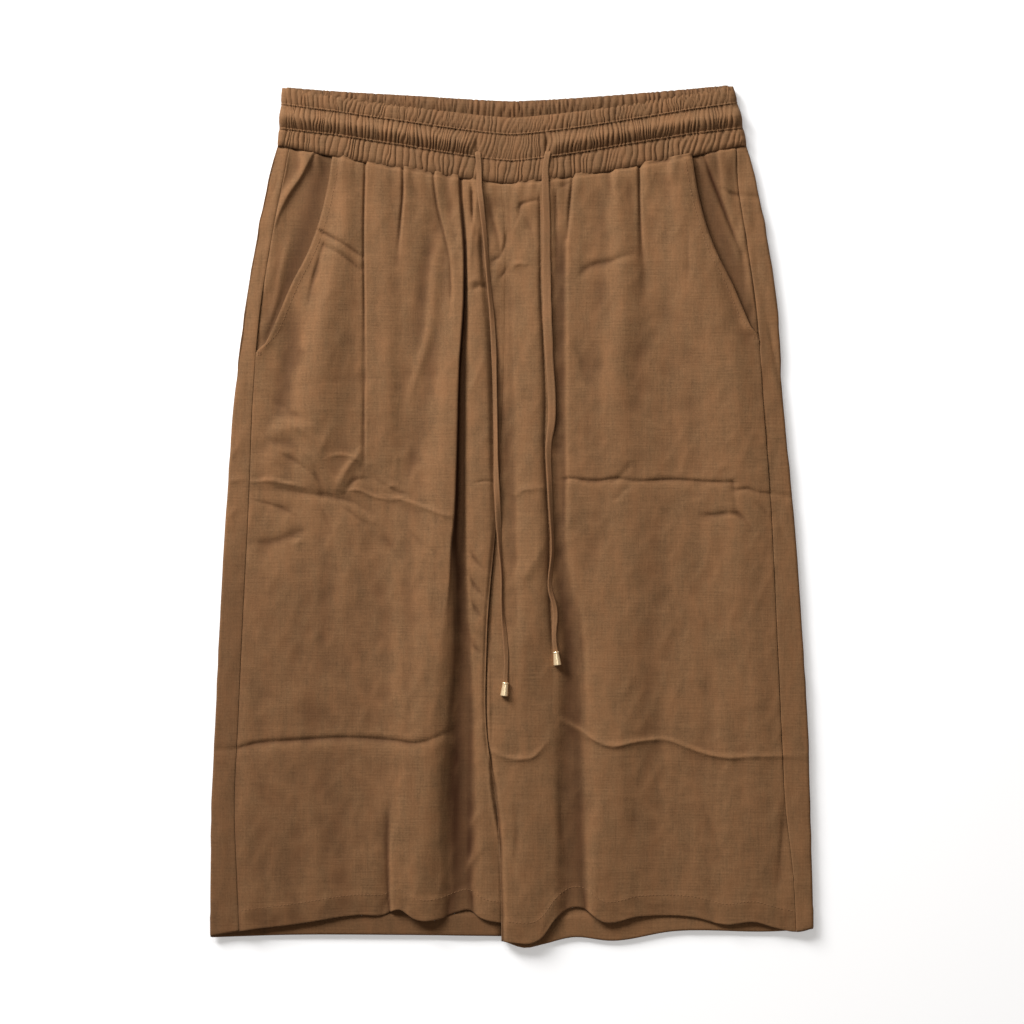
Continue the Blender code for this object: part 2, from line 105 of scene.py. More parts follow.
def make_stage():
    """Table top, three lights, a dim warm room and a camera that looks straight down."""
    scene = bpy.context.scene
    scene.view_settings.view_transform = "Standard"

    mesh = bpy.data.meshes.new("table_top")
    corners = [(across * TABLE_HALF, along_it * TABLE_HALF, 0)
               for across, along_it in ((-1, -1), (1, -1), (1, 1), (-1, 1))]
    mesh.from_pydata(corners, [], [(0, 1, 2, 3)])
    floor = bpy.data.objects.new("table_top", mesh)
    scene.collection.objects.link(floor)
    paint = bpy.data.materials.new("table_white")
    paint.use_nodes = True
    set_inputs(paint.node_tree.nodes["Principled BSDF"], TABLE_FINISH)
    mesh.materials.append(paint)
    floor.location.z = -TABLE_DEPTH

    def lamp(name, place, aim, size, power):
        data = bpy.data.lights.new(name, "AREA")
        data.shape = "DISK"
        data.size = size
        data.energy = power
        made = bpy.data.objects.new(name, data)
        scene.collection.objects.link(made)
        made.location = place
        way = np.array(aim) - np.array(place)
        made.rotation_euler = (np.arctan2(np.hypot(way[0], way[1]), -way[2]), 0,
                               np.arctan2(way[1], way[0]) - np.pi / 2)

    for row in LAMPS:
        lamp(*row)
    world = bpy.data.worlds.new("studio")
    world.use_nodes = True
    set_inputs(world.node_tree.nodes["Background"], ROOM)
    scene.world = world

    data = bpy.data.cameras.new("overhead")
    data.sensor_width = SENSOR_WIDTH
    data.lens = SENSOR_WIDTH * CAMERA_HEIGHT / FIELD
    camera = bpy.data.objects.new("overhead", data)
    scene.collection.objects.link(camera)
    camera.location = (0, CAMERA_Y, CAMERA_HEIGHT)
    scene.camera = camera


make_stage()
print("stage made")

# %% [markdown]
# ## Reading tables as curves
#
# A pattern cutter draws an outline through a few measured points. Here each table has a row for each
# of those points, and `smooth` draws the curve through them. Heights, widths and seams are all read
# the same way, so that a change to one row bends the cloth and its seams together.

# %% Curves, noise and places
def smooth(at, xs, ys):
    """Curve through the points (xs, ys): cubic pieces, each point's slope being that of the line
    between its neighbours."""
    xs = np.asarray(xs, float)
    ys = np.asarray(ys, float)
    slopes = np.gradient(ys, xs)
    at = np.clip(at, xs[0], xs[-1])
    piece = np.clip(np.searchsorted(xs, at, side="right") - 1, 0, len(xs) - 2)
    span = xs[piece + 1] - xs[piece]
    t = (at - xs[piece]) / span
    return ((1 + 2 * t) * (1 - t) ** 2 * ys[piece] + t * (1 - t) ** 2 * span * slopes[piece]
            + t * t * (3 - 2 * t) * ys[piece + 1] - t * t * (1 - t) * span * slopes[piece + 1])


def ease(t):
    """0 to 1 with level ends: 3 t squared less 2 t cubed."""
    t = np.clip(t, 0, 1)
    return t * t * (3 - 2 * t)


def bell(s):
    """1 at the middle, falling away to either side: e to the minus s squared."""
    return np.exp(-s * s)


LATTICE = (97, 89)       # cells that the random heights have before they come round again


def noise(x, y, cell, seed):
    """Random heights from -1 to 1 on a lattice of cells, eased from each point to the next."""
    lattice = np.random.default_rng(seed).uniform(-1, 1, LATTICE)
    gx, gy = x / cell[0], y / cell[1]
    ix, iy = np.floor(gx).astype(int), np.floor(gy).astype(int)
    tx, ty = ease(gx - ix), ease(gy - iy)

    def at(i, j):
        return lattice[(ix + i) % LATTICE[0], (iy + j) % LATTICE[1]]

    return ((at(0, 0) * (1 - tx) + at(1, 0) * tx) * (1 - ty)
            + (at(0, 1) * (1 - tx) + at(1, 1) * tx) * ty)


def place(x, drop, z):
    """Millimetres across, down from the waistband's top and up, as metres in the frame."""
    x, drop, z = np.broadcast_arrays(x, drop, z)
    return np.stack((x, TOP - drop, z), axis=-1) * MM


def distances(*lines):
    """How far along a line each of its points lies, from the coordinates of its points."""
    steps = np.sqrt(sum(np.diff(line) ** 2 for line in lines))
    return np.concatenate(((0,), np.cumsum(steps)))


print("a bell falls to", round(float(bell(1.0)), 2), "at its half width")

# %% [markdown]
# ## The cut of the garment
#
# These are the same lines that the solids are built on: the outline, the side seams that lie on the
# front, the middle seam that becomes the inner leg, the pocket mouths and the hems. They are in
# millimetres, from the garment's middle and down from the top of the waistband.

# %% Outline, seams, mouths and hems
SECTION_COLUMNS = ("drop", "left", "right", "left_wrap", "right_wrap", "middle")
SECTIONS = np.array((
    (50, -199, 199, 11, 9, -8),
    (85, -208, 208, 13, 16, -8),
    (125, -216, 216, 13, 18, -5),
    (186, -226, 225, 13, 18, -5),
    (268, -236, 230, 16, 17, -7),
    (349, -242, 238, 19, 19, -12),
    (472, -249, 247, 20, 22, -22),
    (560, -253, 252, 20, 23, -21),
    (600, -255, 253, 20, 22, -14),
    (676, -256, 255, 23, 16, -9),
    (735, -256, 256, 26, 14, -8)))
MOUTH = np.array((
    (58, 152), (88, 157), (120, 165), (146, 175), (167, 186), (190, 196), (213, 206), (230, 215)))
MOUTH_END = {"left": 228.0, "right": 214.0}
HEMS = {
    "front_left": np.array((
        (-256, 723), (-228, 718), (-187, 713), (-127, 705), (-109, 705), (-96, 700), (-82, 708),
        (-62, 708), (-47, 703), (-36, 701), (-27, 707), (-8, 712))),
    "front_right": np.array((
        (-8, 727), (0, 728), (26, 723), (37, 708), (48, 700), (62, 700), (74, 709), (109, 706),
        (155, 707), (181, 713), (207, 711), (221, 715), (243, 719), (256, 716))),
    "back_left": np.array(((-256, 724), (-196, 722), (-92, 722), (-8, 723))),
    "back_right": np.array((
        (-8, 727), (11, 733), (26, 730), (51, 724), (85, 727), (136, 719), (220, 719), (256, 717)))}
CLOTH = 0.6              # wall of one layer of cloth
HEM_CLOTH = 1.5          # wall where the hem is turned up
HEM_DEPTH = 19.0
SEAM = 0.14              # clearance between pieces at the seams that show
LEG_GAP = 0.4
CROTCH_DROP = 350.0
FRONT_LEVEL = 4.1        # middle of the front's wall where it lies flat
FLOOR_LEVEL = 1.9        # lowest that it sinks, just over the back
UNDERLAP = 12.0          # how far a facing goes on beneath its mouth's edge
INWARD = {"left": 1, "right": -1}


def section(name, drop):
    return smooth(drop, SECTIONS[:, 0], SECTIONS[:, SECTION_COLUMNS.index(name)])


def side_seam(side, drop):
    """x of the side seam, which lies on the front."""
    return section(side, drop) + INWARD[side] * section(side + "_wrap", drop)


def mouth(side, drop):
    """x of the pocket mouth's edge."""
    return -INWARD[side] * smooth(drop, MOUTH[:, 0], MOUTH[:, 1])


def parted(drop):
    """0 where one seam joins the two legs, 1 where they lie apart."""
    return ease((drop - CROTCH_DROP) / 60)


def middle_edge(side, drop):
    """x of a piece's edge at the middle seam, and at the inner leg once the legs part."""
    return section("middle", drop) - INWARD[side] * (SEAM / 2 + LEG_GAP / 2 * parted(drop))


def hem(name, x):
    return smooth(x, HEMS[name][:, 0], HEMS[name][:, 1])


BAND_EDGES = {           # drop in the middle and at the sides
    "front_top": (28.5, 0.0), "back_top": (14.5, 0.0), "bottom": (84.5, 52.5)}
BAND_HALF_WIDTHS = (194.0, 199.5)     # at the top and at the bottom
TUCK = 3.0               # how far the cloth goes up beneath the waistband
# How deep each kind of piece dips beneath the waistband, and at its edge along the side seam.
BAND_DIP = {"front": 0.9, "facing": 1.2, "back": 1.0}
EDGE_DIP = {"front": 0.6, "facing": 0.7, "back": 0.55}


def band_edge(name, x):
    """Drop of one edge of the waistband: lowest in the middle, curving up to the sides."""
    middle, sides = BAND_EDGES[name]
    return middle - (middle - sides) * np.minimum(np.abs(x) / BAND_HALF_WIDTHS[0], 1) ** 1.3


def band_slope(x):
    """How much lower the waistband's top edge lies towards its left end."""
    return 2.4 * ease((-x - 60) / 130)


def under_band(x, drop):
    """1 for cloth beneath the waistband, 0 from 2 mm below its edge."""
    return 1 - ease((drop - band_edge("bottom", x) + 0.4) / 2.4)


def edge_roll(drop):
    """How strongly the edges at the side seam roll under: most beside the upper pocket."""
    return 1 - 0.6 * ease((drop - 130) / 120)


print("left hem is", round(float(hem("front_left", -127.0))), "mm down at its middle")

# %% [markdown]
# ## Rolls and pleats
#
# Two things shape cloth that lies flat. Fullness from the pleats makes long soft rolls, and pressing
# in a folded stack leaves sharp lines. A roll is a bell across a line that runs down the leg, with a
# half width of its own on each side. A cloth simulation could find such rolls too, but not in the
# places where this pair has them. Sums of heights put them there, and keep every piece that they
# cross in step.

# %% Rolls that run down each front
# Each has a power and rows of drop, x, half width to the left, half width to the right, rise. A
# power of 2 makes a round roll and a higher one a flat top. A very small half width makes a cliff.
ROLLS = {
    "front_left": (
        # the cloth left of the deep open fold, rising to the fold's lip
        (2, ((60, -47, 8, 1.0, 0.3), (82, -45.5, 10, 1.0, 1.4), (146, -41.6, 13, 1.0, 3.2),
             (183, -42.4, 15, 1.2, 5.0), (240, -47.2, 18, 1.6, 6.8), (290, -49.4, 20, 1.8, 7.6),
             (325, -50.4, 24, 2.0, 7.8), (365, -52.2, 26, 2.4, 8.0), (390, -54.8, 27, 3.0, 8.2),
             (422, -56.6, 28, 7.8, 8.2), (450, -59, 29, 10.5, 8.2), (475, -62, 30, 14, 8.0),
             (505, -65, 30, 15, 7.8), (540, -69, 30, 17, 7.4), (582, -72, 30, 18, 7.0),
             (631, -76, 30, 20, 6.8), (670, -79, 28, 21, 6.6), (725, -76, 26, 17, 6.4))),
        # the bottom of that fold
        (4, ((60, -42.8, 2, 2, -0.6), (82, -43.4, 1.8, 1.8, -1.4), (146, -39.6, 1.7, 1.7, -2.4),
             (183, -39.8, 2.0, 2.0, -3.0), (240, -42.6, 3.2, 3.2, -3.4), (267, -43.2, 3.8, 3.8, -3.4),
             (365, -44.0, 4.8, 4.8, -3.4), (422, -43.2, 5.6, 5.6, -3.4), (479, -41.5, 7.2, 6.8, -3.4),
             (546, -44, 10, 11, -3.4), (600, -46, 12, 13, -3.4), (725, -48, 9, 13, -3.0))),
        # the strip of cloth on its right: a broad rise, and a step beside the tie
        (2.4, ((60, -33, 8, 7, 0), (120, -30, 9, 6, 1.2), (183, -26, 12, 6, 2.4),
               (267, -22.0, 16, 7, 3.2), (365, -20.0, 18, 8, 3.6), (422, -20.4, 15, 9, 3.8),
               (479, -20.5, 12, 9, 3.8), (546, -21, 8, 9, 3.0), (600, -22, 9, 10, 1.9),
               (660, -24, 8, 10, 1.4), (725, -22, 8, 10, 1.4))),
        (6, ((84, -37, 3, 9, 0), (110, -34.6, 4, 9.2, 1.0), (137, -33.6, 4.4, 6.4, 1.6),
             (172, -32.3, 5.4, 8.0, 1.8), (222, -29.6, 7.4, 10.8, 1.8), (267, -29.2, 8.4, 11.2, 1.8),
             (307, -29.4, 9, 11.8, 1.8), (345, -28.6, 9, 11.8, 1.5), (400, -28, 9, 10, 0.6),
             (440, -28, 9, 10, 0))),
        # the hollow between the left tie and the middle seam
        (2, ((225, -7, 5, 4, 0), (250, -6, 5, 4, -0.4), (300, -5, 5, 4, -0.8), (340, -5, 5, 4, 0))),
        # pleats below the waistband: each rises from a groove and falls to the next
        (2, ((55, -109.5, 10, 10, 2.0), (112, -109.5, 10, 11, 2.6), (155, -108, 12, 10, 2.6),
             (200, -106, 13, 9, 2.2), (240, -106, 15, 9, 2.4), (290, -108, 12, 10, 2.4),
             (325, -107, 12, 8, 1.4), (352, -106, 12, 10, 0))),
        (2, ((55, -122, 1.2, 9, 1.4), (112, -123.6, 1.2, 9, 1.3), (200, -123.2, 1.2, 9, 1.0),
             (240, -123.0, 1.6, 9, 0.5), (275, -123.2, 1.3, 9, 0.9), (306, -123.2, 2, 9, 0.8),
             (335, -123, 3, 9, 0))),
        (2, ((55, -78, 11, 7, 1.6), (110, -76, 12, 6, 1.8), (155, -83, 12, 8, 1.4),
             (200, -87, 9, 8, 0.9), (260, -82, 9, 9, 0.6), (320, -84, 8, 10, 0))),
        (2, ((55, -90.4, 1.2, 8, 1.4), (98, -90.6, 1.2, 8, 1.5), (112, -91.8, 1.2, 8, 1.4),
             (128, -93, 1.6, 8, 1.0), (150, -96, 4, 8, 0))),
        (2, ((55, -63.8, 1.3, 7, 1.3), (79, -63.8, 1.3, 7, 1.4), (106, -60.4, 1.4, 6, 1.3),
             (129, -55.0, 1.5, 5, 1.3), (151, -50.6, 1.5, 4, 1.4), (183, -49, 2, 4, 0.6),
             (210, -49, 4, 6, 0))),
        # the grooves beside them
        (2, ((55, -124, 1.4, 1.0, -1.7), (112, -125.6, 1.4, 1.0, -1.7),
             (191, -125.2, 1.4, 1.0, -1.3), (238, -124.8, 2.4, 1.4, -0.6),
             (268, -125.2, 1.6, 1.0, -1.1), (306, -125.2, 2, 1.4, -0.9), (338, -125, 3, 2, 0))),
        (2, ((55, -92.6, 1.3, 1.0, -2.1), (98, -92.8, 1.3, 1.0, -2.0), (112, -94, 1.4, 1.0, -1.8),
             (128, -95.2, 1.6, 1.2, -1.1), (158, -98, 3, 3, 0))),
        (2, ((55, -66.4, 1.3, 1.0, -1.2), (79, -66.4, 1.3, 1.0, -1.2), (106, -62.8, 1.3, 1.0, -1.1),
             (129, -56.8, 1.2, 1.0, -1.1), (151, -52.4, 1.2, 1.0, -1.2), (172, -51.8, 1.2, 1.0, -1.2),
             (196, -52, 2, 2, 0))),
        # the soft ridge that slants away from the last pleat
        (2, ((120, -60, 6, 6, 0), (155, -65, 5, 5, 1.7), (200, -68.5, 4.4, 4.4, 2.0),
             (222, -73, 3.6, 3.6, 1.8), (243, -79.5, 3.6, 3.6, 1.5), (268, -87, 4.4, 4.4, 0.7),
             (290, -90, 6, 6, 0))),
        # long soft rolls of the hip and the leg
        (2, ((60, -146, 6, 12, 1.0), (110, -142, 11, 12, 3.6), (155, -149, 13, 17, 5.4),
             (200, -158, 14, 22, 6.4), (240, -164, 17, 23, 6.6), (290, -167, 22, 20, 5.0),
             (330, -168, 18, 17, 2.8), (362, -172, 20, 20, 0))),
        (2, ((185, -186, 8, 7, 0), (205, -186, 9, 8, -1.4), (240, -191, 10, 9, -2.2),
             (265, -196, 10, 9, -1.8), (290, -203, 10, 9, -1.2), (320, -208, 10, 9, 0))),
        (2, ((250, -210, 8, 12, 0), (290, -200, 10, 12, 1.8), (330, -205, 10, 12, 1.4),
             (350, -205, 10, 12, 0))),
        (2, ((345, -215, 30, 50, 0), (420, -215, 20, 60, 2.6), (560, -225, 14, 70, 3.0),
             (725, -225, 12, 60, 2.6))),
        (2, ((380, -96, 10, 12, 0), (420, -97, 9, 9, 1.0), (520, -96, 9, 9, 0.9),
             (560, -97, 9, 12, 0)))),
    "front_right": (
        # the roll beside the middle seam: a broad rise, and a step beside the tie
        (2.6, ((60, 17, 12, 8, 0.4), (100, 18, 13, 8, 1.4), (150, 19, 14, 8, 2.2),
               (285, 20, 14, 10, 3.0), (350, 20, 15, 11, 3.4), (404, 19, 17, 12, 3.6),
               (470, 16, 20, 16, 2.6), (520, 14, 20, 20, 0))),
        (6, ((84, 8, 8, 14.6, 0.2), (105, 8, 9, 14.6, 0.9), (172, 9, 9, 14.6, 1.0),
             (222, 10, 9, 15.8, 1.0), (267, 11, 9, 16.6, 1.0), (307, 11, 9, 16.2, 1.0),
             (345, 12, 9, 17.4, 1.2), (380, 13, 9, 18.2, 1.4), (460, 15, 9, 18.6, 1.6),
             (490, 15, 9, 19, 0.8), (520, 15, 9, 19, 0))),
        (2.2, ((404, 4, 22, 24, 0), (470, 4, 24, 26, 3.2), (520, 4, 25, 30, 5.0),
               (640, 6, 26, 31, 4.6), (725, 8, 24, 29, 4.6))),
        # the hollow to its right
        (4, ((60, 42, 6, 6, -0.6), (100, 41, 6, 6, -0.8), (200, 40.5, 6, 6, -0.7),
             (350, 41, 6, 6, -1.0), (404, 41, 6, 6, -1.6), (440, 48, 9, 9, -2.2),
             (582, 52, 13, 11, -2.8), (725, 54, 13, 10, -2.8))),
        # the pleat on the far side of the hollow, which stands over it
        (2, ((60, 54, 1.4, 14, 1.5), (78, 53.3, 1.4, 16, 1.6), (105, 50.6, 1.6, 18, 1.5),
             (135, 48.6, 2.4, 18, 1.3), (200, 48.4, 3.0, 16, 1.3), (268, 48.4, 3.0, 16, 1.4),
             (330, 48.8, 2.8, 20, 1.8), (404, 53, 6, 30, 2.5), (432, 61, 12, 30, 3.0),
             (466, 67, 13, 32, 3.2), (520, 74, 15, 34, 3.4), (582, 76, 14, 34, 3.6),
             (636, 74, 10, 34, 3.6), (725, 69, 6, 32, 3.2))),
        # a pleat below the waistband
        (2, ((55, 130, 16, 22, 2.0), (104, 136, 20, 24, 2.8), (151, 150, 26, 22, 1.6),
             (200, 150, 24, 22, 0))),
        (2, ((55, 110.6, 1.4, 9, 0.9), (104, 111.2, 1.5, 10, 0.9), (135, 112, 2, 10, 0.4),
             (160, 112, 4, 12, 0))),
        (2, ((55, 108.0, 1.5, 1.1, -2.2), (104, 108.7, 1.6, 1.2, -2.2), (135, 110, 2.6, 2.4, -1.5),
             (165, 112, 5, 5, -0.9), (200, 113, 7, 7, 0))),
        # the broad roll below it, and the hollow and the roll on its right
        (2, ((60, 82, 14, 8, 1.2), (100, 90, 16, 9, 2.4), (150, 95, 17, 13, 4.4),
             (200, 94, 20, 16, 5.0), (240, 89, 15, 15, 5.2), (290, 90, 18, 18, 4.2),
             (340, 92, 20, 18, 3.0), (400, 97, 26, 20, 3.0), (520, 100, 30, 26, 2.2),
             (600, 100, 26, 18, 1.6), (725, 100, 24, 18, 1.2))),
        (2, ((100, 154, 18, 8, 1.6), (150, 168, 30, 13, 4.4), (200, 176, 28, 14, 5.0),
             (240, 186, 30, 18, 4.4), (300, 188, 32, 22, 3.8), (400, 192, 32, 22, 3.0),
             (560, 196, 32, 24, 2.4), (725, 198, 30, 22, 2.2)))),
    "pocket_facing_left": (
        (2, ((52, -166, 7, 1.6, 2.0), (79, -180, 6, 1.6, 2.6), (94, -190, 6, 1.6, 2.6),
             (112, -199, 5, 1.8, 1.6), (138, -207, 4, 2, 0))),
        (2, ((50, -189, 4, 1.4, 1.2), (80, -194, 4, 1.4, 1.5), (105, -202, 3, 1.4, 1.0),
             (120, -206, 3, 2, 0))),
        (2, ((120, -186, 3, 4, 0), (150, -194, 3, 4, 0.9), (190, -202, 3, 4, 0.9),
             (215, -210, 3, 4, 0)))),
    "pocket_facing_right": (
        (2, ((52, 176, 3, 5, 1.4), (90, 181, 3, 5, 1.8), (125, 190, 4, 5, 0))),
        (2, ((110, 196, 3, 3, 0), (150, 199, 3, 3, 0.8), (190, 206, 3, 3, 0))))}


# Where a fold is so deep that only light off the cloth itself gets in, or a leg lies away from the
# light: the same columns, and the last is how much darker it is.
SHADES = {
    "front_left": (
        (4, ((60, -43, 2, 2, 0.15), (82, -43.6, 2, 2, 0.3), (146, -39.6, 2, 2, 0.45),
             (183, -40, 2.4, 2.4, 0.5), (267, -43.6, 4.6, 4.0, 0.5), (365, -45, 5.4, 4.8, 0.42),
             (422, -43.6, 6.4, 6.0, 0.36), (479, -40, 7, 6, 0.4), (546, -40, 9, 8, 0.5),
             (600, -41, 12, 11, 0.52), (660, -40, 12, 11, 0.5), (725, -45, 12, 12, 0.32))),
        (2, ((222, -10, 3, 3, 0), (267, -8, 3, 3, 0.14), (307, -6.5, 3, 3, 0.3),
             (335, -7, 3, 3, 0.1), (350, -8, 3, 3, 0))),
        # where the leg lies away from the light
        (2, ((360, -205, 80, 100, 0), (430, -205, 80, 110, 0.2), (725, -210, 90, 120, 0.3)))),
    "front_right": (
        (3, ((60, 42, 6, 6, 0.05), (125, 41, 6, 6, 0.1), (150, 41, 6.5, 6.5, 0.34),
             (240, 41, 6.5, 6.5, 0.26), (330, 41, 6.5, 6.5, 0.2), (404, 45, 10, 10, 0.2),
             (440, 50, 13, 12, 0.24), (582, 52, 17, 15, 0.28), (725, 53, 17, 13, 0.28))),
        (2, ((240, -5, 3, 3, 0), (267, -6.5, 3, 3, 0.2), (307, -5.2, 3, 3, 0.4),
             (335, -5, 3, 3, 0.25), (360, -8, 3, 3, 0)))),
    "pocket_facing_left": (
        (2, ((50, -158, 10, 12, 0.45), (120, -174, 10, 12, 0.5), (160, -187, 7, 9, 0.55),
             (213, -208, 5, 6, 0.4)),),),
    "pocket_facing_right": (
        (2, ((50, 162, 12, 12, 0.4), (120, 175, 12, 10, 0.45), (160, 190, 9, 8, 0.4),
             (205, 203, 6, 6, 0.35)),),)}


def along(table, x, drop):
    """Sum of a table's bands: each is its last column times e to the minus (distance over half
    width) to the power given. Past its last row a band goes on as it is."""
    total = np.zeros(np.broadcast(x, drop).shape)
    for power, rows in table:
        drops, lines, lefts, rights, rises = np.array(rows, float).T
        s = x - smooth(drop, drops, lines)
        half = np.where(s < 0, np.interp(drop, drops, lefts), np.interp(drop, drops, rights))
        total += np.interp(drop, drops, rises) * np.exp(-np.abs(s / half) ** power)
    return total


HOLLOW_REACH = 8         # points to each side that count as neighbours
HOLLOW_SHADE = 0.42      # painted shade for each millimetre below them
HOLLOW_LIMITS = (-0.12, 0.5)


def hollow(z):
    """How much painted shade each point of a grid has for lying lower than its neighbours: above 0 in
    a crease, and below 0, as painted light, on a crest. The neighbourhood is the mean over a square of
    the grid."""
    width = 2 * HOLLOW_REACH + 1
    mean = np.pad(z, HOLLOW_REACH, "edge")
    for axis in (0, 1):
        mean = np.apply_along_axis(np.convolve, axis, mean, np.ones(width) / width, "valid")
    return np.clip((mean - z) * HOLLOW_SHADE, *HOLLOW_LIMITS)


print(sum(len(r) for r in ROLLS.values()), "rolls")

# %% [markdown]
# ## Creases
#
# A crease is a line where the cloth was pressed or crushed, and didn't spring back. It is a sharper
# peak or trough than a roll and runs along any curve. Its rise changes from point to point, so that
# no two stretches are alike. The creases could be a bump map too, but real heights also cast the
# short shadows that show them.

